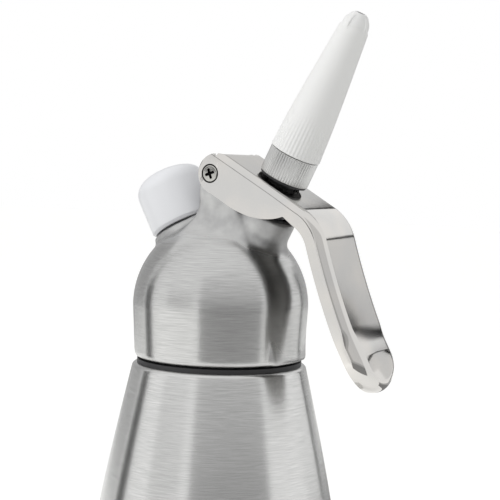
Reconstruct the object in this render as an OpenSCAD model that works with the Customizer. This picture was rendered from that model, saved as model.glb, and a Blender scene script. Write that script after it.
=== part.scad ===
// Whipped cream dispenser: an aluminium bottle, a cast screw-on head with a lever valve,
// a plastic nozzle tip and a short cap over the charger port. Millimetres, +Z up, and
// +X towards the lever. The origin is the centre of the bottle's base.

/* [Bottle] */
// Radius of the foot of the bottle
foot_r = 48.5; // [45:0.5:50]
// Widest radius of the bottle
belly_r = 51; // [50:0.5:54]
// Height of the widest place
belly_z = 104; // [90:1:115]
// Share of the shoulder's height over which the belly eases into it
belly_ease = 0.267; // [0.22:0.001:0.3]
// Share of the shoulder's height over which it eases into the cone under the ledge
cone_ease = 0.513; // [0.45:0.001:0.55]
// Radius of the shoulder's top edge
shoulder_r = 35.05; // [33.5:0.05:36]
// Half angle of the shoulder's cone at its top
shoulder_angle = 13; // [11:0.5:15]
// Height of the flat ledge that the neck stands on
ledge_z = 202.9; // [195:0.1:210]
// Rounding of the shoulder's top edge
ledge_round = 1.9; // [1:0.1:2.5]
// Rounding between foot and side
foot_round = 6; // [3:0.5:9]
// Depth of the hollow under the base
base_kick = 3.5; // [2:0.5:5]
// Wall of the bottle
bottle_wall = 1.6; // [1.2:0.1:2.2]
// Outer radius of the neck without its thread
neck_r = 28; // [27:0.1:28.4]
// Bore of the neck
neck_bore_r = 25; // [23.5:0.1:26]
// Height of the neck above the ledge
neck_h = 19.1; // [17:0.1:21]
// Height of the neck's thread ridges
neck_thread_h = 1.5; // [1:0.1:1.6]
// Pitch of the neck's thread
neck_pitch = 4; // [3.5:0.1:4.2]
// Radius of the black ring between bottle and head
neck_ring_r = 33; // [32.4:0.1:33.2]
// Thickness of that ring
neck_ring_t = 1.7; // [1.4:0.1:1.8]

/* [Head] */
// Radius of the head's dome
head_r = 35.1; // [34:0.1:37]
// Radius of the head's lower rim
head_rim_r = 34; // [33:0.1:34.5]
// Dark gap between the ledge and the head's rim
rim_gap = 2.3; // [1.5:0.1:3]
// Height of the dome's centre above the rim
skirt_h = 21; // [19:0.1:24]
// Rounding of the lower rim
head_rim_round = 1.5; // [0.5:0.1:2]
// Clearance between the neck's thread and the head's skirt
neck_clear = 0.7; // [0.4:0.1:0.9]
// Thickness of the sealing ring on the neck
gasket_t = 2.4; // [1.5:0.1:3]
// Depth of the hollow above the sealing ring
recess_h = 8.5; // [6:0.1:10]

/* [Lever and pivot] */
// Distance of the pivot from the bottle's axis
pivot_x = 2.9; // [2:0.1:4]
// Height of the pivot above the dome's centre
pivot_h = 52.6; // [51.5:0.1:53.5]
// Slope of the lever's plate below level
plate_slope = 29.5; // [28.5:0.1:30.5]
// Height of the plate's top over the pivot, square to the plate
plate_h = 9.28; // [9.1:0.01:9.8]
// Width of the lever
lever_w = 31; // [29:0.1:32]
// Sheet thickness of the lever
sheet_t = 1.8; // [1.5:0.1:2]
// Rounding of the lever's long edges
edge_round = 2.3; // [2.2:0.1:3.5]
// Length of the flat plate from pivot to bend
plate_l = 41; // [40:0.5:43]
// Outer radius of the bend
bend_r = 20.7; // [18:0.1:24]
// Angle of the bend
bend_angle = 44; // [42:0.5:46]
// Radius at which the handle curves out again
sweep_r = 270; // [220:5:320]
// Angle over which the handle curves out again
sweep_angle = 7; // [5:0.5:8]
// Radius of the flare at the handle's end
flare_r = 80; // [60:1:100]
// Angle of the flare at the handle's end
flare_angle = 5.5; // [3:0.5:8]
// Straight length between that flare and the round end
grip_l = 4.5; // [3:0.1:6]
// Radius by which the round end curls in
end_curl_r = 36; // [30:1:60]
// How much shallower the wall is at the tip
end_taper = 1.5; // [1:0.1:2]
// Depth of the handle's side walls
grip_depth = 7.4; // [6.8:0.1:8]
// Radius of the rear end of the side flanges
ear_r = 8; // [7.5:0.1:8.4]
// Distance of the rear end's centre from the pivot
ear_shift = 2.4; // [2:0.1:3]
// Depth of the side flanges at their widest, below the pivot
flange_drop = 6.5; // [6:0.1:7]
// Length over which the flanges' lower edge rises towards the bend
belly_l = 23; // [20:0.5:26]
// How far before the bend that rise ends
belly_end = 5; // [4:0.5:6]
// Depth of the flanges where it ends
belly_depth = 6.7; // [6.4:0.1:6.9]
// Radius of the pivot axle
axle_r = 3.7; // [3.4:0.1:4]
// Radial running clearance of the lever on the axle
axle_clear = 0.05; // [0.03:0.01:0.08]
// How far the axle's ends stay inside the lever's sides
axle_inset = 0.7; // [0.5:0.1:1]
// Radius of the screw heads
screw_head_r = 3.25; // [3:0.05:3.35]
// Height of the screw heads
screw_head_h = 1; // [0.8:0.1:1.2]
// Radius of the screw head's dome
screw_dome_r = 5.5; // [5:0.1:7]
// Width of the arms of the cross in the screw head
cross_w = 0.7; // [0.6:0.05:0.9]
// Length of the cross
cross_l = 3.8; // [3.4:0.1:4.2]
// Depth of the cross
cross_depth = 0.8; // [0.6:0.05:0.9]
// Radius of the screw shanks
screw_r = 1.75; // [1.5:0.05:2]
// Length of the screw shanks
screw_l = 9; // [6:0.5:11]
// Gap between the head's lug and each side flange
lug_gap = 0.9; // [0.7:0.1:1.2]
// End play of the washers in that gap
washer_play = 0.1; // [0.05:0.05:0.2]
// Radius of the washers
washer_r = 6; // [5.2:0.1:6.2]
// Radius of the lug round the axle
lug_r = 5; // [4.9:0.1:5.6]

/* [Valve] */
// Tilt of the valve and nozzle from upright
valve_tilt = 26.4; // [25.5:0.1:27.5]
// Distance of the nozzle's foot from the bottle's axis
nozzle_x = 27.4; // [27:0.1:28]
// How far the nozzle's foot lies below the lever's pivot
nozzle_drop = 0.8; // [0.4:0.1:1.2]
// Radius of the valve boss
boss_r = 12; // [11.5:0.1:12.2]
// Depth of the boss's top below the nozzle's foot
boss_drop = 14.3; // [13.5:0.1:15]
// How far the web between lug and boss stands back from the boss's side
web_inset = 0.3; // [0.2:0.05:0.5]
// How far below the boss's top its fillet into the dome starts
boss_skirt_drop = 8; // [7:0.1:9]
// Radius of that fillet
boss_skirt_r = 12; // [10:0.1:13]
// Radius of the valve stem
stem_r = 4; // [3.7:0.1:4.2]
// Bore of the valve stem
stem_bore_r = 1.9; // [1.5:0.1:2]
// Radial running clearance of the stem in its guide
stem_clear = 0.05; // [0.03:0.01:0.08]
// Radius of the stem guide
guide_r = 6; // [5.8:0.1:6.4]
// Length of the stem guide
guide_l = 10; // [8:0.5:11]
// Thickness of the sealing ring in the guide
o_ring_t = 1.3; // [1:0.1:1.4]
// Radius of the spring pocket
pocket_r = 8; // [7.8:0.1:8.4]
// Depth of the spring pocket
pocket_h = 11.7; // [10:0.1:13]
// Wire of the return spring
wire_d = 1.2; // [1:0.1:1.4]
// Coils of the return spring
spring_turns = 6; // [5:1:7]
// Gap round the return spring
spring_clear = 0.8; // [0.6:0.1:0.9]
// Radius of the cream chamber below the guide
chamber_r = 5.2; // [4.9:0.1:5.4]
// Length of the cream chamber
chamber_l = 8; // [7:0.5:9]
// Radius of the poppet's sealing disc
poppet_r = 7.2; // [6.8:0.1:7.6]
// Thickness of the poppet's sealing disc
poppet_t = 2; // [1.5:0.1:2.5]
// Thickness of the poppet's nut
poppet_nut_t = 3; // [2.5:0.1:3.5]
// Radius of the seat's pocket
seat_r = 9.5; // [9:0.1:10]
// Radius of the shoulder that the lever presses
press_r = 10.5; // [10.2:0.1:10.8]
// Thickness of that shoulder
press_t = 2.5; // [2:0.1:3]
// Radius of the hub that passes through the lever
hub_r = 6.2; // [5.8:0.1:6.4]
// Radius of the hole in the lever's plate
plate_hole_r = 7.6; // [7.5:0.1:7.8]
// Radius of the lever's pressing pads
pad_r = 1.6; // [1.4:0.1:1.7]
// How far the pads' middle lies below the plate's underside
pad_sink = 0.8; // [0.6:0.1:1]
// Length of each pad across the lever
pad_l = 4; // [3:0.2:4.4]
// Gap between the pads and the hub
pad_gap = 0.2; // [0.1:0.05:0.4]
// Distance of the pads from the valve's axis towards the pivot
pad_shift = 5; // [4.8:0.1:5.4]
// Free play between pads and shoulder
pad_play = 0.3; // [0.25:0.05:0.4]

/* [Nozzle] */
// Thickness of the black ring under the knurled collar
ring_t = 0.8; // [0.6:0.1:0.9]
// Radius of the black ring
ring_r = 9.5; // [9.2:0.1:9.7]
// Height of the knurled collar
collar_h = 10.5; // [9.5:0.1:11.5]
// Radius of the knurled collar at its foot
collar_foot_r = 9.9; // [9.5:0.1:10.2]
// Ribs round the knurled collar
collar_ribs = 56; // [48:1:64]
// Depth of the knurled ribs
rib_depth = 0.35; // [0.2:0.05:0.5]
// Radius of the threaded spigot that the tip screws on to
spigot_r = 6.4; // [6:0.1:6.6]
// Height of the spigot above the collar
spigot_h = 10; // [9:0.1:11]
// Height of the spigot's thread ridges
spigot_thread_h = 0.6; // [0.4:0.1:0.7]
// Pitch of the tip's thread
tip_pitch = 2; // [1.8:0.1:2.2]
// Gap between collar and tip
tip_gap = 0.3; // [0.25:0.05:0.5]
// Radial clearance between the spigot's thread and the tip
tip_clear = 0.4; // [0.3:0.1:0.5]
// Radius of the tip at its foot
tip_foot_r = 10.2; // [9.9:0.1:10.4]
// Length of the nozzle tip
tip_l = 59; // [55:0.5:63]
// Radius of the tip just below its rounded end
tip_end_r = 5.8; // [5.5:0.1:6.2]
// Bore of the tip at its mouth
mouth_r = 4; // [3.8:0.1:4.2]
// Slots in the mouth of the tip
tip_slots = 6; // [5:1:8]
// Width of those slots
slot_w = 1.6; // [1.2:0.1:2.6]
// Depth of those slots
slot_l = 7; // [5:0.5:9]

/* [Charger port] */
// Tilt of the charger port from upright
port_tilt = 28; // [26:0.5:30]
// Radius of the port's boss
port_r = 14.6; // [14.3:0.1:15.2]
// Distance of the boss's top from the dome's centre
port_h = 34.6; // [34:0.1:36]
// How far below the port's face its fillet into the dome starts
port_skirt_drop = 2; // [1.6:0.1:2.4]
// Radius of that fillet
port_skirt_r = 5; // [4:0.1:6]
// Radial clearance round the cap in the machined face of the port
face_clear = 0.6; // [0.5:0.05:0.8]
// Depth of the threaded socket in the boss
socket_h = 10.6; // [9:0.1:11]
// Radius of the nipple's lower thread
nipple_root_r = 8; // [7.6:0.1:8.4]
// Thickness of the washer under the nipple
port_washer_t = 0.8; // [0.6:0.1:1]
// Radius of the washer under the nipple
port_washer_r = 13.2; // [12.6:0.1:13.6]
// Radius of the nipple's flange
nipple_flange_r = 10.9; // [10.6:0.1:11]
// Thickness of the nipple's flange
nipple_flange_t = 1.6; // [1.2:0.1:2]
// Radius of the nipple's upper spigot
nipple_r = 10; // [9.8:0.1:10.2]
// Height of the nipple above its flange
nipple_h = 11; // [10:0.1:12]
// Height of the nipple's thread ridges
nipple_thread_h = 0.8; // [0.6:0.1:0.8]
// Pitch of the cap's thread
cap_pitch = 2.5; // [2.2:0.1:2.8]
// Radius of the hollow in the nipple
cup_r = 7.4; // [6.8:0.1:7.6]
// Depth of the hollow in the nipple
cup_h = 9; // [8:0.1:10]
// Radius of the piercing pin's foot
pin_foot_r = 3; // [2.6:0.1:3.2]
// Radius of the piercing pin
pin_r = 0.9; // [0.8:0.1:1.2]
// Height of the piercing pin in the hollow
pin_h = 5; // [4:0.1:6]
// Radius of the gas passage
gas_r = 1.5; // [1.2:0.1:1.8]

/* [Charger cap] */
// Outer radius of the cap
cap_r = 14.5; // [14.2:0.1:15]
// Height of the cap
cap_h = 24; // [22:0.5:26]
// Rounding between the cap's side and its top
cap_round = 8; // [6:0.5:9]
// Height of the cap's crown over that rounding
cap_crown = 3; // [2:0.1:4]
// Gap between washer and cap
cap_gap = 0.3; // [0.25:0.05:0.5]
// Radial clearance between the nipple's thread and the cap
cap_clear = 0.5; // [0.4:0.05:0.6]
// Thickness of the cap's liner
liner_t = 1.2; // [1:0.1:1.5]
// Free play between liner and nipple
liner_play = 0.3; // [0.2:0.05:0.4]

/* [Hidden] */
$fn = 96;

// An allowance by which a cutting tool runs past the face that it cuts
past = 1;

// Heights along the bottle's axis
lip_z = ledge_z + neck_h;
rim_z = ledge_z + rim_gap;
dome_z = rim_z + skirt_h;
gasket_top_z = lip_z + gasket_t;
skirt_bore_r = neck_r + neck_thread_h + neck_clear;
gasket_r = neck_r + neck_thread_h / 2;
recess_r = neck_bore_r - 1;
neck_ridges = floor((neck_h - neck_pitch) / neck_pitch);

// The pivot, and the frame of the lever's plate: x along the plate, z square to it
pivot_z = dome_z + pivot_h;
half_w = lever_w / 2;
edge_steps = 6;
bend_steps = 8;
end_steps = 20;
lug_half_w = half_w - sheet_t - lug_gap;
axle_half_l = half_w - axle_inset;

// The valve frame has its origin at the nozzle's foot and z along the nozzle
nozzle_z = pivot_z - nozzle_drop;
pivot_across = (nozzle_x - pivot_x) * cos(valve_tilt) - (nozzle_z - pivot_z) * sin(valve_tilt);
pivot_along = (pivot_x - nozzle_x) * sin(valve_tilt) + (pivot_z - nozzle_z) * cos(valve_tilt);
frame_turn = plate_slope - valve_tilt;
// Places on the plate, measured along it from the pivot
function on_plate(across, height) = (pivot_across - across - height * sin(frame_turn)) / cos(frame_turn);
hole_u = on_plate(0, plate_h - sheet_t / 2);
pad_v = plate_h - sheet_t - pad_sink;
pad_u = on_plate(pad_shift, pad_v);
pad_y = hub_r + pad_gap + pad_l / 2;
pad_s = pivot_along - pad_u * sin(frame_turn) + pad_v * cos(frame_turn) - pad_r;
press_top = pad_s - pad_play;
press_bottom = press_top - press_t;
boss_top = -boss_drop;
pocket_floor = boss_top - pocket_h;
guide_bottom = pocket_floor - guide_l;
seat_s = guide_bottom - chamber_l;
poppet_top = seat_s - 0.05;
stem_bottom = poppet_top - poppet_t - poppet_nut_t;
stem_top = collar_h - 2.5;
tip_bottom = collar_h + tip_gap;
tip_top = tip_bottom + tip_l;
spigot_top = collar_h + spigot_h;
socket_r = spigot_r + spigot_thread_h + tip_clear;
tip_gasket_t = 1.2;
channel_s = spigot_top + tip_gasket_t + 0.05;

// Distances from the dome's centre along the charger port
washer_top = port_h + port_washer_t;
flange_top = washer_top + nipple_flange_t;
nipple_top = flange_top + nipple_h;
cup_floor = nipple_top - cup_h;
cap_bottom = washer_top + cap_gap;
cap_top = cap_bottom + cap_h;
cap_bore_r = max(nipple_r + nipple_thread_h, nipple_flange_r) + cap_clear;
liner_bottom = nipple_top + liner_play;
socket_floor = port_h - socket_h;
check_h = 6;

// Points of an arc about [x, y]
function arc(x, y, r, a0, a1, n = 12) =
    [for (i = [0:n]) let(a = a0 + (a1 - a0) * i / n) [x + r * cos(a), y + r * sin(a)]];
// Points of a cubic curve between a and d
function cubic(a, b, c, d, n = 14) =
    [for (i = [0:n]) let(t = i / n, q = 1 - t) q*q*q * a + 3*q*q*t * b + 3*q*t*t * c + t*t*t * d];
// A list without its first point, and a list from its end to its start
function tail(list) = [for (i = [1:len(list) - 1]) list[i]];
function backwards(list) = [for (i = [len(list) - 1:-1:0]) list[i]];

module valve_frame() { translate([nozzle_x, 0, nozzle_z]) rotate([0, valve_tilt, 0]) children(); }
module port_frame() { translate([0, 0, dome_z]) rotate([0, -port_tilt, 0]) children(); }
module lever_frame() { translate([pivot_x, 0, pivot_z]) rotate([0, plate_slope, 0]) children(); }
module tube(r, bore, z0, z1) {
    translate([0, 0, z0]) difference() {
        cylinder(r = r, h = z1 - z0);
        translate([0, 0, -past]) cylinder(r = bore, h = z1 - z0 + 2 * past);
    }
}
// A flat outline drawn in x and z, as thick as w and centred on y
module side_plate(w) { rotate([90, 0, 0]) translate([0, 0, -w / 2]) linear_extrude(w) children(); }
// Thread ridges, each a ring of sloping sides
module ridges(root, crest, z0, pitch, count) {
    w = pitch * 0.3;
    for (i = [0:count - 1]) translate([0, 0, z0 + i * pitch]) rotate_extrude()
        polygon([[root - 0.4, -w], [root, -w], [crest, -w / 3], [crest, w / 3], [root, w], [root - 0.4, w]]);
}

// The shoulder: a smooth curve from the belly to the cone under the ledge, at a depth below the skin
shoulder_z = ledge_z - ledge_round * (1 - sin(shoulder_angle));
shoulder_h = shoulder_z - belly_z;
cone = [sin(shoulder_angle), -cos(shoulder_angle)];
function shoulder(depth) = cubic([belly_r - depth, belly_z],
    [belly_r - depth, belly_z + belly_ease * shoulder_h],
    [shoulder_r - depth, shoulder_z] + cone_ease * shoulder_h * cone,
    [shoulder_r - depth, shoulder_z]);
// The foot: the hollow base, the flat ring that it stands on, and the corner, at a depth below the skin
function foot(depth) = concat(
    cubic([0, base_kick + depth], [foot_r * 0.35, base_kick + depth],
        [foot_r * 0.5, depth], [foot_r * 0.66, depth]),
    arc(foot_r - foot_round, foot_round, foot_round - depth, -90, 0));

module bottle() {
    skin = concat(foot(0), shoulder(0),
        arc(shoulder_r - ledge_round * cos(shoulder_angle), ledge_z - ledge_round, ledge_round,
            shoulder_angle, 90, 8),
        [[neck_r, ledge_z], [neck_r, lip_z - 0.8], [neck_r - 0.8, lip_z], [neck_bore_r, lip_z],
            [neck_bore_r, ledge_z - bottle_wall]]);
    hollow = concat(foot(bottle_wall), shoulder(bottle_wall));
    color("#c9cacc") union() {
        rotate_extrude() polygon(concat(skin, backwards(hollow)));
        ridges(neck_r, neck_r + neck_thread_h, ledge_z + neck_pitch, neck_pitch, neck_ridges);
    }
}
module neck_ring() {
    color("#202021") tube(neck_ring_r, neck_r + 0.1, ledge_z + 0.02, ledge_z + neck_ring_t);
}

// The cast head: dome, valve boss, lug for the lever and boss for the charger port
function on_axis(s) = [nozzle_x + s * sin(valve_tilt), nozzle_z + s * cos(valve_tilt)];
module head_outside() {
    top = arc(0, dome_z, head_r, 0, 90, 24);
    rotate_extrude() polygon(concat([[0, rim_z]],
        arc(head_rim_r - head_rim_round, rim_z + head_rim_round, head_rim_round, -90, 0, 6), top));
    valve_frame() {
        translate([0, 0, guide_bottom]) cylinder(r = boss_r, h = boss_top - guide_bottom);
        boss_skirt(boss_r, boss_top - boss_skirt_drop, boss_skirt_r);
    }
    port_frame() {
        translate([0, 0, socket_floor]) cylinder(r = port_r, h = socket_h);
        boss_skirt(port_r, port_h - port_skirt_drop, port_skirt_r);
    }
    lug();
}
// A hollow fillet that spreads from a boss of radius r into the dome
module boss_skirt(r, top, size) {
    rotate_extrude() polygon(concat([[0, top - size]], [[0, top]], arc(r + size, top, size, 180, 270, 8)));
}
// The lug that carries the axle, between the side flanges
module lug() {
    boss_left = [nozzle_x + boss_top * sin(valve_tilt) - boss_r * cos(valve_tilt),
        nozzle_z + boss_top * cos(valve_tilt) + boss_r * sin(valve_tilt)];
    side_plate(2 * lug_half_w) union() {
        translate([pivot_x, pivot_z]) circle(r = lug_r);
        polygon([[pivot_x - lug_r, pivot_z], [pivot_x - lug_r, dome_z],
            [boss_left[0] + boss_r / 3, dome_z], boss_left + boss_r / 3 * [1, -1], boss_left,
            [pivot_x + lug_r * cos(35), pivot_z + lug_r * sin(35)]]);
    }
    // a web joins the lug to the middle of the boss
    side_plate(2 * (boss_r - web_inset)) polygon([on_axis(boss_top), on_axis(guide_bottom),
        [pivot_x, dome_z], [pivot_x, boss_left[1]], boss_left]);
}
module head_body() {
    color("#c4c5c7") difference() {
        head_outside();
        // the skirt that takes the neck, and the hollow above the seal
        translate([0, 0, rim_z - past]) cylinder(r = skirt_bore_r, h = gasket_top_z - rim_z + past);
        translate([0, 0, gasket_top_z - past]) rotate_extrude()
            polygon([[0, 0], [recess_r, 0], [recess_r, past], [recess_r * 0.7, past + recess_h],
                [0, past + recess_h]]);
        valve_frame() {
            translate([0, 0, pocket_floor]) cylinder(r = pocket_r, h = boss_drop + pocket_h);
            translate([0, 0, guide_bottom]) cylinder(r = guide_r, h = guide_l + past);
            translate([0, 0, seat_s - past]) cylinder(r = chamber_r, h = chamber_l + 2 * past);
            translate([0, 0, seat_s - 16]) cylinder(r = seat_r, h = 16);
        }
        port_frame() {
            translate([0, 0, socket_floor]) cylinder(r = nipple_root_r, h = socket_h + past);
            cylinder(r = gas_r, h = socket_floor + past);
            // the machined face under the washer, wide enough for the cap
            translate([0, 0, port_h]) cylinder(r = cap_r + face_clear, h = cap_top - port_h);
        }
        translate([pivot_x, 0, pivot_z]) rotate([90, 0, 0])
            cylinder(r = axle_r, h = lever_w, center = true);
    }
}
module head_gasket() { color("#2b2b2d") tube(gasket_r, neck_bore_r - 0.4, lip_z + 0.02, gasket_top_z); }

// Half of the bent sheet's section, from its middle line outwards, as [across, height] under its outer face
function half_outer(depth) =
    concat([[0, 0]], arc(half_w - edge_round, -edge_round, edge_round, 90, 0, edge_steps),
        [[half_w, -depth]]);
function half_inner(depth) = concat([[0, -sheet_t]],
    arc(half_w - edge_round, -edge_round, edge_round - sheet_t, 90, 0, edge_steps),
    [[half_w - sheet_t, -depth]]);
function other_half(list) = [for (p = list) [-p[0], p[1]]];
module channel(depth) {
    polygon(concat(backwards(other_half(half_outer(depth))), tail(half_outer(depth)),
        backwards(half_inner(depth)), tail(other_half(half_inner(depth)))));
}
// The side outline of the plate and its flanges
module flange_outline() {
    ear_v = plate_h - ear_r;
    end_u = plate_l - belly_end;
    end_v = plate_h - belly_depth;
    belly = cubic([end_u - belly_l, -flange_drop], [end_u - 0.61 * belly_l, -flange_drop],
        [end_u - 0.22 * belly_l, end_v - 0.26 * belly_l], [end_u, end_v], 10);
    translate([ear_shift, ear_v]) circle(r = ear_r);
    polygon(concat([[ear_shift, plate_h], [ear_shift, -flange_drop]], belly,
        [[plate_l, plate_h - grip_depth], [plate_l, plate_h]]));
}
module lever() {
    color("#d3d3d2") lever_frame() difference() {
        union() {
            intersection() {
                translate([-ear_r, 0, plate_h]) rotate([90, 0, 90])
                    linear_extrude(plate_l + ear_r) channel(plate_h + flange_drop + 2);
                side_plate(lever_w + past) flange_outline();
            }
            handle();
            for (side = [-1, 1]) translate([pad_u, side * pad_y, pad_v]) rotate([90, 0, 0])
                cylinder(r = pad_r, h = pad_l, center = true);
        }
        translate([hole_u, 0, 0]) cylinder(r = plate_hole_r, h = plate_h + past);
        // the plate stops short of the ears at the rear
        translate([-ear_r - past, -half_w + edge_round, plate_h - 5])
            cube([ear_r + past + 0.5, lever_w - 2 * edge_round, 6]);
        rotate([90, 0, 0]) cylinder(r = axle_r + axle_clear, h = lever_w + 2 * past, center = true);
    }
}
// The handle's outer line in the lever's frame, as [x, z, slope]: a bend, a long curve outwards, a flare
// and a short straight end
function outwards(from, r, angle, n) = [for (i = [1:n]) let(a = from[2] - angle * i / n)
    [from[0] + r * (sin(from[2]) - sin(a)), from[1] + r * (cos(from[2]) - cos(a)), a]];
function last(list) = list[len(list) - 1];
bend_stops = [for (i = [0:bend_steps]) let(a = bend_angle * i / bend_steps)
    [plate_l + bend_r * sin(a), plate_h - bend_r * (1 - cos(a)), a]];
sweep_stops = outwards(last(bend_stops), sweep_r, sweep_angle, 4);
flare_stops = outwards(last(sweep_stops), flare_r, flare_angle, 3);
grip_stop = last(flare_stops) + [grip_l * cos(last(flare_stops)[2]), -grip_l * sin(last(flare_stops)[2]), 0];
stops = concat(bend_stops, sweep_stops, flare_stops, [grip_stop]);
end_stop = len(stops) - 1;
// The half section goes down one side, turns about the middle of the round end and comes back up the
// other side. Each of its places is a stop and a turn about the stop's middle
places = concat([for (s = [0:end_stop]) [s, 0]],
    [for (e = [1:end_steps - 1]) [end_stop, 180 * e / end_steps]],
    [for (s = [end_stop:-1:0]) [s, 180]]);
half_ring = concat(half_outer(grip_depth), backwards(half_inner(grip_depth)));
ring_last = len(half_ring) - 1;
function on_handle(place, p) = let(s = stops[place[0]],
    a = s[2] + p[0] * sin(place[1]) / end_curl_r * 180 / PI,
    h = p[1] == -grip_depth ? p[1] + end_taper * pow(sin(place[1]), 2) : p[1])
    [s[0] + end_curl_r * (sin(a) - sin(s[2])) + h * sin(a), p[0] * cos(place[1]),
        s[1] + end_curl_r * (cos(a) - cos(s[2])) + h * cos(a)];
// The middle line's points are shared by both sides
function point_number(j, i) = i == 0 ? places[j][0] : i == ring_last ? end_stop + 1 + places[j][0]
    : 2 * (end_stop + 1) + j * (ring_last - 1) + i - 1;
function triangles(q) = [for (t = [[q[0], q[1], q[2]], [q[0], q[2], q[3]]])
    if (t[0] != t[1] && t[1] != t[2] && t[2] != t[0]) t];
module handle() {
    middle = [for (i = [0, ring_last]) for (s = [0:end_stop]) on_handle([s, 0], half_ring[i])];
    sides = [for (place = places) for (i = [1:ring_last - 1]) on_handle(place, half_ring[i])];
    skin = [for (j = [0:len(places) - 2]) for (i = [0:ring_last - 1]) for (t = triangles([point_number(j, i),
        point_number(j, i + 1), point_number(j + 1, i + 1), point_number(j + 1, i)])) t];
    start = [for (i = [0:edge_steps + 1]) for (j = [0, len(places) - 1])
        let(q = [point_number(j, i), point_number(j, i + 1), point_number(j, ring_last - i - 1),
            point_number(j, ring_last - i)]) for (t = triangles(j == 0 ? backwards(q) : q)) t];
    polyhedron(concat(middle, sides), concat(skin, start));
}
module pivot_axle() {
    color("#b9babc") translate([pivot_x, 0, pivot_z]) rotate([90, 0, 0])
        tube(axle_r, screw_r, -axle_half_l, axle_half_l);
}
module pivot_washers() {
    t = lug_gap - 2 * washer_play;
    color("#e8e8e6") translate([pivot_x, 0, pivot_z]) for (side = [-1, 1]) rotate([90, 0, 0])
        translate([0, 0, side * (lug_half_w + lug_gap / 2)]) tube(washer_r, axle_r, -t / 2, t / 2);
}
module pivot_screws() {
    color("#c8c8c8") translate([pivot_x, 0, pivot_z]) for (side = [-1, 1]) rotate([side * 90, 0, 0])
        translate([0, 0, axle_half_l]) difference() {
            union() {
                intersection() {
                    cylinder(r = screw_head_r, h = screw_head_h);
                    translate([0, 0, screw_head_h - screw_dome_r]) sphere(r = screw_dome_r);
                }
                translate([0, 0, -screw_l]) cylinder(r = screw_r, h = screw_l + 0.2);
            }
            for (turn = [0, 90]) rotate([0, 0, turn + 20])
                translate([-cross_l / 2, -cross_w / 2, screw_head_h - cross_depth])
                    cube([cross_l, cross_w, cross_depth + past]);
        }
}

// The valve, from the guide in the head down to the poppet and up to the knurled collar
module stem_guide() {
    color("#b98f4a") valve_frame() difference() {
        tube(guide_r, stem_r + stem_clear, guide_bottom, pocket_floor);
        translate([0, 0, guide_bottom + 3]) tube(stem_r + o_ring_t + 0.05, stem_r, 0, o_ring_t + 0.1);
    }
}
module guide_o_ring() {
    color("#262628") valve_frame() translate([0, 0, guide_bottom + 3.05 + o_ring_t / 2])
        rotate_extrude() translate([stem_r + stem_clear / 2 + o_ring_t / 2, 0]) circle(d = o_ring_t);
}
// The return spring is one tube wound on a helix, with 8 rings to a turn and 6 sides
spring_mean_r = pocket_r - spring_clear - wire_d / 2;
spring_z0 = pocket_floor + wire_d / 2 + 0.05;
spring_z1 = press_bottom - wire_d / 2 - 0.05;
spring_pitch = (spring_z1 - spring_z0) / spring_turns;
rings = spring_turns * 8;
function coil_point(i, side) = let(a = i * 45, b = side * 60, w = spring_mean_r + wire_d / 2 * cos(b))
    [w * cos(a), w * sin(a), spring_z0 + spring_pitch * i / 8 + wire_d / 2 * sin(b)];
coil_points = [for (i = [0:rings], side = [0:5]) coil_point(i, side)];
coil_sides = [for (i = [0:rings - 1], side = [0:5]) let(a = i * 6 + side, b = i * 6 + (side + 1) % 6)
    each [[a, a + 6, b], [b, a + 6, b + 6]]];
coil_ends = concat([for (k = [1:4]) [0, k, k + 1]],
    [for (k = [1:4]) [rings * 6, rings * 6 + k + 1, rings * 6 + k]]);
echo("least gap between the spring's coils", spring_pitch - wire_d);
module valve_spring() {
    color("#9fa1a4") valve_frame() polyhedron(coil_points, concat(coil_sides, coil_ends));
}
module valve_stem() {
    color("#c0c2c4") valve_frame() difference() {
        translate([0, 0, stem_bottom]) cylinder(r = stem_r, h = stem_top - stem_bottom);
        translate([0, 0, seat_s + 1]) cylinder(r = stem_bore_r, h = stem_top - seat_s);
        for (turn = [0, 90]) translate([0, 0, seat_s + 3.5]) rotate([90, 0, turn])
            cylinder(r = 1.5, h = 3 * stem_r, center = true);
    }
}
module press_collar() {
    color("#242426") valve_frame() {
        tube(press_r, stem_r, press_bottom, press_top);
        tube(hub_r, stem_r, press_top, -ring_t);
    }
}
module collar_seal() { color("#1f1f20") valve_frame() tube(ring_r, stem_r, -ring_t, 0); }
module nozzle_adapter() {
    teeth = [for (i = [0:2 * collar_ribs - 1]) let(a = i * 180 / collar_ribs,
        r = collar_foot_r + (i % 2 == 0 ? 0 : -rib_depth)) [r * cos(a), r * sin(a)]];
    color("#bcbdbd") valve_frame() difference() {
        union() {
            linear_extrude(collar_h) polygon(teeth);
            cylinder(r = spigot_r, h = spigot_top);
            ridges(spigot_r, spigot_r + spigot_thread_h, collar_h + 2.5, tip_pitch, 3);
        }
        translate([0, 0, -past]) cylinder(r = stem_r, h = stem_top + past);
        cylinder(r = stem_bore_r, h = spigot_top + past);
    }
}
module poppet_seal() {
    color("#242425") valve_frame() tube(poppet_r, stem_r, poppet_top - poppet_t, poppet_top);
}
module poppet_nut() {
    color("#c3c4c5") valve_frame() translate([0, 0, stem_bottom]) difference() {
        cylinder(r = poppet_r - 0.7, h = poppet_nut_t, $fn = 6);
        translate([0, 0, -past]) cylinder(r = stem_r, h = poppet_nut_t + 2 * past);
    }
}
module tip_gasket() {
    color("#ececea") valve_frame() tube(socket_r - 0.4, mouth_r, spigot_top + 0.02, channel_s - 0.02);
}
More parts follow.
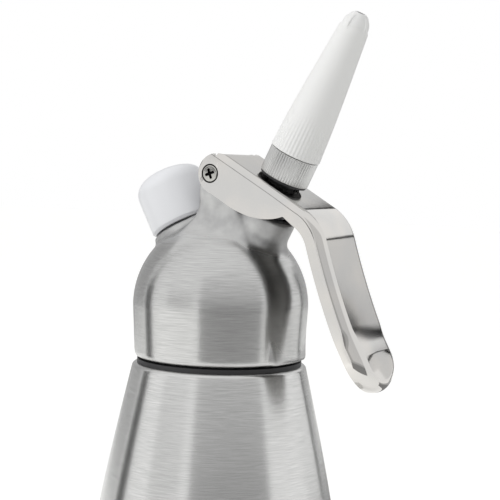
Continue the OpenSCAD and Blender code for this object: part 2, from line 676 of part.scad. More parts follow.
// The nozzle tip: a slender cone with a rounded end, hollow, with slots round its mouth
module nozzle_tip() {
    end_s = tip_top - tip_end_r * 0.75;
    skin = concat([[tip_foot_r, tip_bottom]],
        cubic([tip_foot_r - 0.2, tip_bottom + 3], [tip_foot_r - 0.9, tip_bottom + 0.3 * tip_l],
            [tip_end_r + 1.9, tip_top - 0.44 * tip_l], [tip_end_r, end_s], 10),
        tail(cubic([tip_end_r, end_s], [tip_end_r - 0.35, tip_top - 1.2], [mouth_r + 1.1, tip_top],
            [mouth_r + 0.4, tip_top], 6)));
    bore = [[mouth_r, tip_top], [mouth_r + 0.6, channel_s + 6], [mouth_r + 0.6, channel_s],
        [socket_r, channel_s], [socket_r, tip_bottom]];
    color("#f1f1f0") valve_frame() difference() {
        rotate_extrude() polygon(concat(skin, bore));
        for (i = [0:tip_slots - 1]) rotate([0, 0, (i + 0.5) * 360 / tip_slots])
            translate([0, 0, tip_top - slot_l]) {
                translate([0, -slot_w / 2, 0]) cube([2 * tip_end_r, slot_w, slot_l + past]);
                rotate([0, 90, 0]) cylinder(d = slot_w, h = 2 * tip_end_r);
            }
    }
}

// The charger port: nipple, washer, piercing pin, its valve, and the cap with its liner
module charger_nipple() {
    color("#c7c8ca") port_frame() difference() {
        union() {
            translate([0, 0, socket_floor]) cylinder(r = nipple_root_r, h = flange_top - socket_floor);
            translate([0, 0, washer_top]) cylinder(r = nipple_flange_r, h = nipple_flange_t);
            translate([0, 0, flange_top]) cylinder(r = nipple_r, h = nipple_h);
            ridges(nipple_r, nipple_r + nipple_thread_h, flange_top + 2.4, cap_pitch, 3);
        }
        translate([0, 0, cup_floor]) cylinder(r = cup_r, h = cup_h + past);
        translate([0, 0, socket_floor - past])
            cylinder(r = pin_foot_r, h = cup_floor - socket_floor + 2 * past);
        translate([0, 0, socket_floor - past]) cylinder(r = pin_foot_r + 1.4, h = check_h + past);
    }
}
module nipple_washer() {
    color("#232324") port_frame() tube(port_washer_r, nipple_root_r, port_h, washer_top);
}
module pierce_pin() {
    color("#8f9194") port_frame() difference() {
        union() {
            translate([0, 0, socket_floor + check_h])
                cylinder(r = pin_foot_r, h = cup_floor - socket_floor - check_h);
            translate([0, 0, cup_floor]) cylinder(r = pin_r, h = pin_h - 1.5);
            translate([0, 0, cup_floor + pin_h - 1.5]) cylinder(r1 = pin_r, r2 = pin_r * 0.6, h = 1.5);
        }
        translate([0, 0, socket_floor]) cylinder(r = pin_r * 0.4, h = port_h + nipple_h);
    }
}
module check_valve_seal() {
    color("#2a2a2c") port_frame()
        tube(pin_foot_r + 1.4, gas_r, socket_floor + 0.02, socket_floor + check_h);
}
module cap_liner() {
    color("#dadada") port_frame() translate([0, 0, liner_bottom])
        cylinder(r = cap_bore_r - 0.1, h = liner_t);
}
module charger_cap() {
    ceiling = liner_bottom + liner_t;
    side_top = cap_top - cap_crown - cap_round * 0.6;
    crown = cubic([cap_r, side_top], [cap_r - 0.4, side_top + cap_round * 0.75],
        [cap_r * 0.6, cap_top], [0, cap_top], 12);
    color("#eceded") port_frame() rotate_extrude() polygon(concat(
        [[cap_bore_r, cap_bottom], [cap_r - 1.3, cap_bottom], [cap_r - 0.7, cap_bottom + 0.6]],
        crown, [[0, ceiling], [cap_bore_r, ceiling]]));
}

bottle();
neck_ring();
head_body();
head_gasket();
lever();
pivot_axle();
pivot_washers();
pivot_screws();
stem_guide();
guide_o_ring();
valve_spring();
valve_stem();
press_collar();
collar_seal();
nozzle_adapter();
poppet_seal();
poppet_nut();
tip_gasket();
nozzle_tip();
charger_nipple();
nipple_washer();
pierce_pin();
check_valve_seal();
cap_liner();
charger_cap();
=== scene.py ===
# %% [markdown]
# A whipped cream dispenser, dressed for a studio photograph.
# The CAD model comes in as a fixed frame that says where each piece is. This lesson makes the
# surfaces that show as new meshes with numpy, gives every piece the finish of the real one, and
# leaves all sizes as the CAD model has them. Sizes are written in millimetres and turned to
# metres in one place.

# %% Load the frame
import math
import bpy
import numpy as np
from mathutils import Matrix, Vector


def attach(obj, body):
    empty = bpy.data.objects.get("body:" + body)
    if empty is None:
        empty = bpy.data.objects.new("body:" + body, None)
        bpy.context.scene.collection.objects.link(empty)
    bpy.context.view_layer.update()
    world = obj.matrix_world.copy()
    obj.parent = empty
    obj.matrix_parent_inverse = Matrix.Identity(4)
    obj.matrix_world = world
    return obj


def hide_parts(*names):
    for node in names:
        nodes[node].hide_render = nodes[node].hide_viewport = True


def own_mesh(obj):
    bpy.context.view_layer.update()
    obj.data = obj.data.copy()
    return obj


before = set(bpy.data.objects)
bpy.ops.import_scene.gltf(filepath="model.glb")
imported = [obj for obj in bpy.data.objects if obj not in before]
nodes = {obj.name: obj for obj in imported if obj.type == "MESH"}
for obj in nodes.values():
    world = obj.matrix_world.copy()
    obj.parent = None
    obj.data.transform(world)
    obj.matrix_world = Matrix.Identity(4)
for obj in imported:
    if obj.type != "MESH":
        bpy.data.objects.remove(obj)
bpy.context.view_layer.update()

# %% [markdown]
# Meshes are worked out as whole arrays, and one function turns points and quads into a clean
# Blender mesh. Points that fall together, as at a pole or a seam, are merged, so that the shell is
# closed, and the sign of the enclosed volume says whether the faces point outwards. Doing this
# once keeps each piece below down to its formula.

# %% From points and quads to a closed piece
MM = 0.001


def mesh_of(name, points, quads, marks=None):
    """Merges equal points (to 0.00002 mm), drops corners that fell together and faces with fewer than
    three left, and turns the faces outwards: the volume is the sum of a . (b x c) / 6 over triangles.
    Marks, one number for each quad, are kept as a face attribute."""
    keys = np.round(np.asarray(points, float).reshape(-1, 3) / 2e-5).astype(np.int64)
    _, first, index = np.unique(keys, axis=0, return_index=True, return_inverse=True)
    points = np.asarray(points, float).reshape(-1, 3)[first]
    quads = index.reshape(-1)[np.asarray(quads, int)]
    a, b, c, d = (points[quads[:, k]] for k in range(4))
    volume = (np.einsum("ij,ij", a, np.cross(b, c)) + np.einsum("ij,ij", a, np.cross(c, d))) / 6
    if volume < 0:
        quads = quads[:, ::-1]
    keep = quads != np.roll(quads, -1, axis=1)
    counts = keep.sum(1)
    if marks is not None:
        marks = np.asarray(marks, np.float32)[counts > 2]
    quads, keep, counts = quads[counts > 2], keep[counts > 2], counts[counts > 2]
    corners = quads[keep]
    mesh = bpy.data.meshes.new(name)
    mesh.vertices.add(len(points))
    mesh.vertices.foreach_set("co", (points * MM).astype(np.float32).ravel())
    mesh.loops.add(len(corners))
    mesh.loops.foreach_set("vertex_index", corners.astype(np.int32))
    mesh.polygons.add(len(counts))
    mesh.polygons.foreach_set("loop_start", np.concatenate([[0], np.cumsum(counts)[:-1]]).astype(np.int32))
    mesh.update(calc_edges=True)
    if marks is not None:
        mesh.attributes.new("mark", "FLOAT", "FACE").data.foreach_set("value", marks)
    mesh.validate()
    print(f"{name}: {len(points)} points, {len(counts)} faces, {abs(volume) / 1000:.2f} cm3")
    return mesh


# %% [markdown]
# Every surface below is a grid of points, so one function gives the quads of any grid, open or
# closed either way. Adding a piece is the same few steps each time: smooth shading that stops at
# real edges, a finish, and the CAD body that the piece moves with.

# %% Grids, and adding a piece
def grid_quads(rows, columns, wrap_rows=False, wrap_columns=False):
    """The quads of a grid of rows x columns points: each joins a point, the next one in its row and the
    two beside them in the next row. Wrapping joins the last row or column to the first."""
    r = np.arange(rows if wrap_rows else rows - 1)[:, None]
    c = np.arange(columns if wrap_columns else columns - 1)[None, :]
    r2, c2 = (r + 1) % rows, (c + 1) % columns
    quads = np.stack([r * columns + c, r * columns + c2, r2 * columns + c2, r2 * columns + c], -1)
    return quads.reshape(-1, 4)


def finish_mesh(mesh, crease):
    """Smooth shading, with edges over the crease angle left sharp."""
    mesh.polygons.foreach_set("use_smooth", np.ones(len(mesh.polygons), bool))
    mesh.set_sharp_from_angle(angle=math.radians(crease))


def add_piece(mesh, material, body, slot, *stands_for, crease=32):
    """Puts a mesh into the scene on its CAD body, with its finish, in place of the CAD nodes that it
    stands for."""
    finish_mesh(mesh, crease)
    piece = bpy.data.objects.new(mesh.name, mesh)
    bpy.context.scene.collection.objects.link(piece)
    piece.data.materials.append(material)
    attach(piece, body)
    if stands_for:
        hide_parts(*stands_for)
    return piece


# %% [markdown]
# The nozzle, the charger port and the lever each lean in the plane of the handle, so each has a
# frame of its own: an origin on the body's middle plane and a tilt towards the handle. A shape is
# worked out upright in that frame and then turned and moved as a whole.

# %% Leaning frames
DOME_Z = 226.2
UPRIGHT = ((0, 0, 0), 0)
VALVE = ((27.4, 0, DOME_Z + 51.8), 26.4)
PORT = ((0, 0, DOME_Z), -28)
LEVER = ((2.9, 0, DOME_Z + 52.6), 29.5)


def placed(points, place):
    """Turns points about Y by the frame's tilt (x to x cos + z sin, z to z cos - x sin) and adds its
    origin."""
    origin, tilt = place
    c, s = math.cos(math.radians(tilt)), math.sin(math.radians(tilt))
    x, y, z = np.moveaxis(np.asarray(points, float), -1, 0)
    return np.stack([x * c + z * s + origin[0], y + origin[1], z * c - x * s + origin[2]], -1)


def local(points, place):
    """The opposite of placed: points of the object seen in a leaning frame."""
    origin, tilt = place
    moved = np.asarray(points, float) - np.array(origin, float)
    return placed(moved, ((0, 0, 0), -tilt))


# %% [markdown]
# Most of the pieces were turned on a lathe or moulded in a round tool, so they are profiles
# carried round an axis. Real corners are never quite sharp: a helper replaces each corner of a
# profile by an arc, which gives the thin highlight that a real edge has.

# %% Profiles and turned pieces
def cubic(a, b, c, d, n=24):
    """Points of the cubic curve with end points a, d and handles b, c: the weights are those of (1-t+t)^3."""
    t = np.linspace(0, 1, n + 1)[:, None]
    a, b, c, d = (np.array(p, float) for p in (a, b, c, d))
    return (1 - t) ** 3 * a + 3 * (1 - t) ** 2 * t * b + 3 * (1 - t) * t ** 2 * c + t ** 3 * d


def arc(centre, radius, start, end, n=12):
    """Points centre + radius (cos a, sin a) for the angle a from start to end degrees."""
    a = np.radians(np.linspace(start, end, n + 1))
    return np.stack([centre[0] + radius * np.cos(a), centre[1] + radius * np.sin(a)], -1)


def rounded(corners, n=5):
    """Profile from (r, z, radius) corners. An arc that touches both sides starts radius / tan(half the
    corner's angle) from the corner, and its centre lies on the line that halves the corner."""
    p = np.array([c[:2] for c in corners], float)
    out = []
    for k, corner in enumerate(corners):
        size = corner[2] if len(corner) > 2 else 0
        if not size or k in (0, len(corners) - 1):
            out.append(p[k][None])
            continue
        u, v = p[k - 1] - p[k], p[k + 1] - p[k]
        lu, lv = np.linalg.norm(u), np.linalg.norm(v)
        u, v = u / lu, v / lv
        half = math.acos(np.clip(u @ v, -1, 1)) / 2
        size = min(size, 0.49 * min(lu, lv) * math.tan(half))
        middle = p[k] + (u + v) / np.linalg.norm(u + v) * size / math.sin(half)
        start, end = p[k] + u * size / math.tan(half) - middle, p[k] + v * size / math.tan(half) - middle
        a0 = math.atan2(start[1], start[0])
        turn = (math.atan2(end[1], end[0]) - a0 + math.pi) % (2 * math.pi) - math.pi
        a = a0 + turn * np.linspace(0, 1, n + 1)
        out.append(middle + size * np.stack([np.cos(a), np.sin(a)], -1))
    return np.concatenate(out)


# %% [markdown]
# A lathe turns a profile into a piece. Ribs, knurls and threads are a change of radius at each
# point of it, so they are part of the mesh and catch the light from any side.

# %% Turning a profile
def angles(steps):
    """Even angles round the axis, as a column."""
    return np.linspace(0, 2 * math.pi, steps, endpoint=False)[:, None]


def turned(profile, steps, change=None, ring=False):
    """Carries the profile (r, z) round the axis: (r cos t, r sin t, z). `change` adds a (steps, n) array to
    r. A ring's profile closes on itself, and any other starts and ends on the axis or at one point."""
    t = angles(steps)
    r = profile[:, 0] + (np.zeros((steps, 1)) if change is None else change)
    z = np.broadcast_to(profile[None, :, 1], r.shape)
    return np.stack([r * np.cos(t), r * np.sin(t), z], -1), grid_quads(steps, len(profile), True, ring)


def add_turned(name, profile, steps, place, *finish, change=None, ring=True, crease=50):
    """Turns a profile, stands it in its frame and adds it, with add_piece's material, body, slot and node.
    The slot is not used.
    """
    points, quads = turned(profile, steps, change, ring)
    return add_piece(mesh_of(name, placed(points, place), quads), *finish, crease=crease)


def ease(x, low, high):
    """0 below low, 1 above high, and 3 s^2 - 2 s^3 between."""
    s = np.clip((x - low) / (high - low), 0, 1)
    return s * s * (3 - 2 * s)


THREAD_CREST, THREAD_FLANK = 1.7, 6.5


def thread(profile, steps, height, pitch, low, high):
    """A screw thread as a change of radius: a ridge with a flat crest and sloping flanks that climbs one
    pitch in a turn, height * clip(crest - flank * |pitches to the ridge|), fading out near low and high."""
    z = profile[None, :, 1]
    phase = (z - low) / pitch - angles(steps) / (2 * math.pi)
    away = np.abs(phase - np.round(phase))
    ridge = np.clip(THREAD_CREST - THREAD_FLANK * away, 0, 1)
    return height * ridge * ease(z, low, low + pitch / 2) * (1 - ease(z, high - pitch / 2, high))


# %% [markdown]
# Colours are written as the sRGB hex value that the eye reads off the real thing, and one function
# turns them to the linear values that Blender works in. A material is built by adding nodes one at
# a time with a small helper that sets what does not change and links what does.

# %% Colours and nodes
def linear(code):
    """sRGB hex to linear RGB: c / 12.92 below 0.04045, and ((c + 0.055) / 1.055)^2.4 above."""
    s = np.array([int(code[k:k + 2], 16) for k in (1, 3, 5)]) / 255
    return (*np.where(s <= 0.04045, s / 12.92, ((s + 0.055) / 1.055) ** 2.4).tolist(), 1.0)


def add_node(tree, kind, settings=None, links=None):
    """Adds a node, gives its sockets or attributes their fixed values, and links the rest."""
    node = tree.nodes.new(kind)
    for key, value in (settings or {}).items():
        if isinstance(key, int) or key in node.inputs:
            node.inputs[key].default_value = value
        else:
            setattr(node, key, value)
    for key, socket in (links or {}).items():
        tree.links.new(socket, node.inputs[key])
    return node


def new_material(name, settings):
    """A material with one Principled shader. Returns the material, its tree and the shader."""
    material = bpy.data.materials.new(name)
    material.use_nodes = True
    tree = material.node_tree
    tree.nodes.clear()
    shader = add_node(tree, "ShaderNodeBsdfPrincipled", settings)
    add_node(tree, "ShaderNodeOutputMaterial", links={"Surface": shader.outputs["BSDF"]})
    return material, tree, shader


def two_tones(tree, settings, at, spread, dark, pale):
    """A noise, and the colour that it mixes from two: all dark at 0.5 - spread and all pale at 0.5 + spread.
    Returns both sockets."""
    noise = add_node(tree, "ShaderNodeTexNoise", settings, {"Vector": at}).outputs[0]
    share = add_node(tree, "ShaderNodeMapRange", {"From Min": 0.5 - spread, "From Max": 0.5 + spread},
                     {"Value": noise})
    mix = add_node(tree, "ShaderNodeMix", {"data_type": "RGBA", 6: linear(dark), 7: linear(pale)},
                   {"Factor": share.outputs["Result"]})
    return noise, mix.outputs[2]


# %% [markdown]
# The camera stands to the right of the object at head height, with a long lens, as a product
# photographer's does. Its place was found by setting the CAD model against the photograph. It
# leans by a degree and a half, and the object leans by as much in the picture.

# %% Camera
CAMERA_AT = Vector((0.2884, -0.4800, 0.2827))
YAW, PITCH, ROLL = (math.radians(a) for a in (29.854, -3.498, 1.5))
forward = Vector((-math.sin(YAW) * math.cos(PITCH), math.cos(YAW) * math.cos(PITCH), math.sin(PITCH)))
level = Vector((math.cos(YAW), math.sin(YAW), 0))
upward = level.cross(forward)
across = level * math.cos(ROLL) + upward * math.sin(ROLL)
above = upward * math.cos(ROLL) - level * math.sin(ROLL)
lens = bpy.data.cameras.new("camera")
lens.lens = 100.8
lens.sensor_width = 36
lens.clip_start, lens.clip_end = 0.01, 50
camera = bpy.data.objects.new("camera", lens)
camera.matrix_world = Matrix((
    (across.x, above.x, -forward.x, CAMERA_AT.x),
    (across.y, above.y, -forward.y, CAMERA_AT.y),
    (across.z, above.z, -forward.z, CAMERA_AT.z),
    (0, 0, 0, 1)))
bpy.context.scene.collection.objects.link(camera)
bpy.context.scene.camera = camera
bpy.context.scene.view_settings.view_transform = "Standard"
print("camera distance:", round((CAMERA_AT - Vector((0, 0, 0.24))).length, 3), "m")

# %% [markdown]
# Bright metal shows its surroundings more than itself, so the studio matters as much as the
# metal. The surroundings are white, and the object is lit a little less strongly than the white
# that shows, so that colours render as written. The floor is a pale sheet that keeps the shadow.

# %% Studio: world and floor
def sees_white(tree):
    """1 for rays from the camera, from a gloss or through something clear, and 0 for those that light
    things."""
    path = add_node(tree, "ShaderNodeLightPath")
    first = add_node(tree, "ShaderNodeMath", {"operation": "MAXIMUM"},
                     {0: path.outputs["Is Camera Ray"], 1: path.outputs["Is Glossy Ray"]})
    return add_node(tree, "ShaderNodeMath", {"operation": "MAXIMUM"},
                    {0: first.outputs[0], 1: path.outputs["Is Transmission Ray"]}).outputs[0]


DAYLIGHT, PAPER_GLOW = 0.70, 0.42
world = bpy.data.worlds.new("studio")
world.use_nodes = True
bpy.context.scene.world = world
world.node_tree.nodes.clear()
share = sees_white(world.node_tree)
strength = add_node(world.node_tree, "ShaderNodeMapRange", {"To Min": DAYLIGHT, "To Max": 1.0},
                    {"Value": share})
sky = add_node(world.node_tree, "ShaderNodeBackground", {"Color": (1, 1, 1, 1)},
               {"Strength": strength.outputs["Result"]})
add_node(world.node_tree, "ShaderNodeOutputWorld", links={"Surface": sky.outputs[0]})

# White paper sheet: matte, a touch below white, and lifted to white for rays that only look at it
paper, tree, shader = new_material("white_paper_floor", {
    "Base Color": linear("#e8e8e6"), "Roughness": 0.9, "Specular IOR Level": 0.2})
lift = add_node(tree, "ShaderNodeMath", {"operation": "MULTIPLY", 1: PAPER_GLOW}, {0: sees_white(tree)})
tree.links.new(lift.outputs[0], shader.inputs["Emission Strength"])
shader.inputs["Emission Color"].default_value = (1, 1, 1, 1)
FLOOR_REACH = 6000
corner = np.array([[-1, -1, 0], [1, -1, 0], [1, 1, 0], [-1, 1, 0]]) * FLOOR_REACH
floor_mesh = bpy.data.meshes.new("floor")
floor_mesh.from_pydata((corner * MM).tolist(), [], [(0, 1, 2, 3)])
floor_mesh.materials.append(paper)
floor = bpy.data.objects.new("floor", floor_mesh)
bpy.context.scene.collection.objects.link(floor)


# %% [markdown]
# One large soft lamp stands high on the left, in front. It is kept out of gloss, where the cards
# of the next step do its part.

# %% Studio: lamp
def facing(centre, target):
    """The turn that points an object's -Z from its centre at a target, with its Y up."""
    return (Vector(target) - Vector(centre)).to_track_quat("-Z", "Y").to_matrix().to_4x4()


LAMP_AT, LAMP_AIM, LAMP_WIDTH, LAMP_HEIGHT, LAMP_POWER = (-0.75, -0.95, 1.15), (0, 0, 0.2), 0.9, 1.2, 9
lamp_data = bpy.data.lights.new("softbox", "AREA")
lamp_data.shape, lamp_data.size, lamp_data.size_y = "RECTANGLE", LAMP_WIDTH, LAMP_HEIGHT
lamp_data.energy = LAMP_POWER
softbox = bpy.data.objects.new("softbox", lamp_data)
softbox.matrix_world = Matrix.Translation(LAMP_AT) @ facing(LAMP_AT, LAMP_AIM)
bpy.context.scene.collection.objects.link(softbox)
softbox.visible_glossy = False
softbox.visible_camera = False
print("lamp:", LAMP_POWER, "W at", LAMP_AT)

# %% [markdown]
# Bright metal needs something to mirror besides the white, so cards stand round the object, as a
# photographer sets them up outside the picture. A grey one in front, darkest at its foot, makes
# the wide band down the head. Narrow dark ones at the sides draw the thin lines near the edges of
# the brushed metal. Pale grey ones behind keep the metal apart from the white backdrop, and a
# large pale one far behind, with a black rim, gives the polished handle its tone and the dark bars
# at its lower end. A dark post and a pale card do the same for the plate. All of them show in
# gloss only, so they take no light away.

# %% Studio: cards
def card(name, bearing, distance, ends, low, high, shade):
    """An upright card that faces the object. The bearing is counted from the camera's, to the right, and so
    are the places of its two ends along it. Low and high are heights, or two heights, one for each end."""
    material, tree, shader = new_material(name, {"Base Color": (0, 0, 0, 1), "Roughness": 1.0,
                                                 "Specular IOR Level": 0.0})
    shader.inputs["Emission Color"].default_value = linear(shade)
    shader.inputs["Emission Strength"].default_value = 1.0
    a = math.atan2(CAMERA_AT.y, CAMERA_AT.x) + math.radians(bearing)
    out, side = np.array([math.cos(a), math.sin(a), 0]), np.array([-math.sin(a), math.cos(a), 0])
    places = [out * distance + side * k for k in ends]
    (low_a, low_b), (high_a, high_b) = (np.broadcast_to(z, 2) for z in (low, high))
    corners = [places[k] + np.array([0, 0, z]) for k, z in ((0, low_a), (1, low_b), (1, high_b), (0, high_a))]
    mesh = bpy.data.meshes.new(name)
    mesh.from_pydata([c.tolist() for c in corners], [], [(0, 1, 2, 3)])
    mesh.materials.append(material)
    piece = bpy.data.objects.new(name, mesh)
    bpy.context.scene.collection.objects.link(piece)
    piece.visible_camera = piece.visible_diffuse = piece.visible_shadow = False
    piece.visible_transmission = False


CARDS = (  # name, bearing in degrees, distance in m, its two ends, low, high, shade
    ("card_front", 11, 0.45, (-0.35, 0.42), 0.0, 0.25, "#949494"),
    ("card_front_top", 11, 0.45, (-0.35, 0.42), 0.25, 0.31, "#bcbcbc"),
    ("card_front_high", 11, 0.45, (-0.35, 0.42), 0.31, 0.60, "#dedede"),
    ("card_left", -106, 0.5, (-0.06, 0.06), 0.0, 0.36, "#3c3c3c"),
    ("card_left_high", -107, 1.2, (-0.045, 0.045), 0.55, 5.0, "#202020"),
    ("card_right", 129, 0.5, (-0.024, 0.024), 0.0, 0.38, "#181818"),
    ("card_right_high", 129, 1.2, (-0.05, 0.05), 0.98, 5.0, "#181818"),
    ("card_back_left", -149, 1.3, (-0.85, 0.75), 0.02, 1.4, "#b6b6b6"),
    ("card_back_right", 158, 1.6, (-0.75, 0.55), 0.02, 0.72, "#bcbcbc"),
    ("card_back_right_high", 158, 1.6, (-0.55, 0.55), 1.15, 3.0, "#c4c4c4"),
    ("card_behind", 126, 3.0, (-0.8, -0.07), 0.62, 0.955, "#e6e6e6"),
    ("card_behind_slope", 126, 3.0, (-0.07, 0.10), 0.62, (0.955, 1.02), "#e6e6e6"),
    ("card_rim_left", 126, 2.98, (-0.30, -0.06), 0.93, 1.015, "#030303"),
    ("card_rim_slope", 126, 2.98, (-0.06, 0.10), (0.93, 0.99), (1.015, 1.085), "#030303"),
    ("card_rim_side", 126, 2.98, (0.07, 0.8), 0.72, 1.045, "#030303"),
    ("card_post", 160.3, 3.0, (-0.06, 0.06), 1.2, 2.2, "#202020"),
    ("card_above_plate", 166, 3.1, (-0.30, 0.60), 1.2, 2.1, "#dcdcdc"),
    ("card_end", 130, 0.35, (-0.20, 0.20), 0.0, 0.09, "#8c8c8c"),
    ("card_end_top", 130, 0.35, (-0.20, 0.20), 0.09, 0.125, "#b8b8b8"),
    ("card_low", -55, 2.5, (-0.8, 0.8), 0.35, 0.62, "#707070"))
for row in CARDS:
    card(*row)
print("cards:", len(CARDS))

# %% [markdown]
# The head and the bottle are aluminium. It was turned while a coarse abrasive was held against
# it, so fine scratches run round the axis. Across them the metal scatters light much more than
# along them, which draws every reflection out into an upright streak. The shader does this with
# its anisotropy, and needs to be told which way the scratches run: square to the axis and to the
# line from the axis to the point. The scratches themselves are a noise that is stretched along
# the turning direction.

# %% Turned aluminium
GRAIN_LENGTH = 8.0
GRAIN_PITCH = 0.2
CAST_GRAIN = 0.7
CLOUD = 7.0


def turned_aluminium(name, base, dark, roughness, anisotropic):
    """Aluminium brushed on a lathe. The scratches are 0.1 mm apart on the real one and drawn 0.2 mm apart,
    the finest that the picture shows. The noise reads x and y in grain lengths and z - radius in pitches.
    Where the attribute "mark" is 1 the lathe didn't reach, and the casting keeps its darker, matte skin."""
    material, tree, shader = new_material(name, {"Metallic": 1.0, "Anisotropic Rotation": 0.25})
    place = add_node(tree, "ShaderNodeTexCoord").outputs["Object"]
    mark = add_node(tree, "ShaderNodeAttribute", {"attribute_name": "mark"}).outputs["Fac"]
    for socket, on_turned, on_cast in (("Roughness", roughness, 0.5), ("Anisotropic", anisotropic, 0.0)):
        mix = add_node(tree, "ShaderNodeMapRange", {"To Min": on_turned, "To Max": on_cast}, {"Value": mark})
        tree.links.new(mix.outputs["Result"], shader.inputs[socket])
    axes = add_node(tree, "ShaderNodeSeparateXYZ", links={0: place})
    x, y = axes.outputs["X"], axes.outputs["Y"]
    flat = add_node(tree, "ShaderNodeCombineXYZ", {"Z": 0.0}, {"X": x, "Y": y})
    radius = add_node(tree, "ShaderNodeVectorMath", {"operation": "LENGTH"}, {0: flat.outputs[0]})
    down = add_node(tree, "ShaderNodeMath", {"operation": "SUBTRACT"},
                    {0: axes.outputs["Z"], 1: radius.outputs["Value"]})
    lathe = add_node(tree, "ShaderNodeCombineXYZ", links={"X": x, "Y": y, "Z": down.outputs[0]})
    grains = tuple(1 / (size * MM) for size in (GRAIN_LENGTH, GRAIN_LENGTH, GRAIN_PITCH))
    stretched = add_node(tree, "ShaderNodeVectorMath", {"operation": "MULTIPLY", 1: grains},
                         {0: lathe.outputs[0]})
    grain, colour = two_tones(tree, {"Scale": 1.0, "Detail": 3.0, "Roughness": 0.6}, stretched.outputs[0],
                              0.2, dark, base)
    _, matte = two_tones(tree, {"Scale": 1 / (CLOUD * MM), "Detail": 3.0}, place, 0.15, "#bababa", "#d2d2d1")
    sand = add_node(tree, "ShaderNodeTexNoise", {"Scale": 1 / (CAST_GRAIN * MM), "Detail": 2.0},
                    {"Vector": place})
    skin = add_node(tree, "ShaderNodeMix", {"data_type": "RGBA"}, {"Factor": mark, 6: colour, 7: matte})
    tree.links.new(skin.outputs[2], shader.inputs["Base Color"])
    height = add_node(tree, "ShaderNodeMix", {"data_type": "FLOAT"}, {0: mark, 2: grain, 3: sand.outputs[0]})
    bump = add_node(tree, "ShaderNodeBump", {"Strength": 0.04, "Distance": 0.05 * MM},
                    {"Height": height.outputs[0]})
    tree.links.new(bump.outputs[0], shader.inputs["Normal"])
    along = add_node(tree, "ShaderNodeVectorMath", {"operation": "CROSS_PRODUCT", 0: (0, 0, 1)}, {1: place})
    turn = add_node(tree, "ShaderNodeVectorTransform", {"vector_type": "VECTOR", "convert_from": "OBJECT",
                                                        "convert_to": "WORLD"}, {0: along.outputs[0]})
    tree.links.new(turn.outputs[0], shader.inputs["Tangent"])
    return material


head_metal = turned_aluminium("turned_aluminium_head", "#d4d4d3", "#b6b6b5", 0.27, 0.75)
bottle_metal = turned_aluminium("turned_aluminium_bottle", "#e0e0df", "#c5c5c4", 0.27, 0.75)

# %% [markdown]
# The lever is stainless steel sheet, bent and then polished on a wheel, so it is nearly a mirror,
# with only the softest unevenness left by the wheel. The wheel doesn't reach inside the channel,
# so where the attribute "mark" is 1 the sheet is rougher, and its darker grey there is painted
# shade.

# %% Polished steel
POLISH_WAVE = 14.0
polished_steel, tree, shader = new_material("polished_stainless_steel", {"Metallic": 1.0})
place = add_node(tree, "ShaderNodeTexCoord").outputs["Object"]
mark = add_node(tree, "ShaderNodeAttribute", {"attribute_name": "mark"}).outputs["Fac"]
wave, warm = two_tones(tree, {"Scale": 1 / (POLISH_WAVE * MM), "Detail": 1.0}, place, 0.15,
                       "#cfcecc", "#d7d4d0")
# The dark grey inside the channel is painted shade, laid on the rougher unpolished sheet.
polish_and_painted_shade = add_node(tree, "ShaderNodeMix", {"data_type": "RGBA", 7: linear("#7c7b79")},
                 {"Factor": mark, 6: warm})
tree.links.new(polish_and_painted_shade.outputs[2], shader.inputs["Base Color"])
polish = add_node(tree, "ShaderNodeMapRange", {"To Min": 0.08, "To Max": 0.35}, {"Value": mark})
tree.links.new(polish.outputs["Result"], shader.inputs["Roughness"])
bump = add_node(tree, "ShaderNodeBump", {"Strength": 0.05, "Distance": 0.3 * MM}, {"Height": wave})
tree.links.new(bump.outputs[0], shader.inputs["Normal"])


# %% [markdown]
# The small fittings are turned steel, brass, moulded nylon and rubber, each a material of its own:
# one colour, its gloss, and a fine grain that only breaks up the highlights.

# %% Finishes of the fittings
def plain_finish(name, base, grain, depth, settings):
    """A finish with one colour and a fine grain in its surface, whose scale is a size in millimetres."""
    material, tree, shader = new_material(name, {"Base Color": linear(base), **settings})
    place = add_node(tree, "ShaderNodeTexCoord")
    noise = add_node(tree, "ShaderNodeTexNoise", {"Scale": 1 / (grain * MM), "Detail": 2.0},
                     {"Vector": place.outputs["Object"]})
    bump = add_node(tree, "ShaderNodeBump", {"Strength": 0.3, "Distance": depth * MM},
                    {"Height": noise.outputs[0]})
    tree.links.new(bump.outputs[0], shader.inputs["Normal"])
    return material


# Steel off the lathe: neutral, with a fairly sharp gloss
turned_steel = plain_finish("turned_steel", "#c3c4c6", 0.8, 0.01, {"Metallic": 1.0, "Roughness": 0.25})
# Nickel-plated screws: a soft mirror, with painted shade in the cross, where no light gets out again
screw_steel, tree, shader = new_material("nickel_plated_screw", {"Metallic": 1.0, "Roughness": 0.16})
mark = add_node(tree, "ShaderNodeAttribute", {"attribute_name": "mark"}).outputs["Fac"]
plating_and_painted_shade = add_node(tree, "ShaderNodeMix", {"data_type": "RGBA", 6: linear("#bdbcb8"), 7: linear("#161616")},
                   {"Factor": mark})
tree.links.new(plating_and_painted_shade.outputs[2], shader.inputs["Base Color"])
# Axle steel painted near-black as shade: it draws the dark ring of shadow round each screw
axle_steel_black_as_shade = plain_finish("axle_steel_painted_shade", "#262627", 0.6, 0.01,
                               {"Metallic": 1.0, "Roughness": 0.4})
# Chromed brass: bright and neutral, blurred enough that each knurl has one soft glint
knurled_brass = plain_finish("knurled_chromed_brass", "#d0d0cf", 0.8, 0.01,
                             {"Metallic": 1.0, "Roughness": 0.3})
# Drawn wire: grey, with one long highlight along each coil
spring_steel = plain_finish("drawn_spring_steel", "#9d9fa2", 0.5, 0.01, {"Metallic": 1.0, "Roughness": 0.28})
# Turned brass: a warm yellow that only the open head shows
brass = plain_finish("turned_brass", "#b98f4a", 0.8, 0.01, {"Metallic": 1.0, "Roughness": 0.28})
# Moulded rubber: black that turns grey where light grazes it
black_rubber = plain_finish("moulded_black_rubber", "#28282a", 0.4, 0.02, {"Roughness": 0.55, "IOR": 1.52})
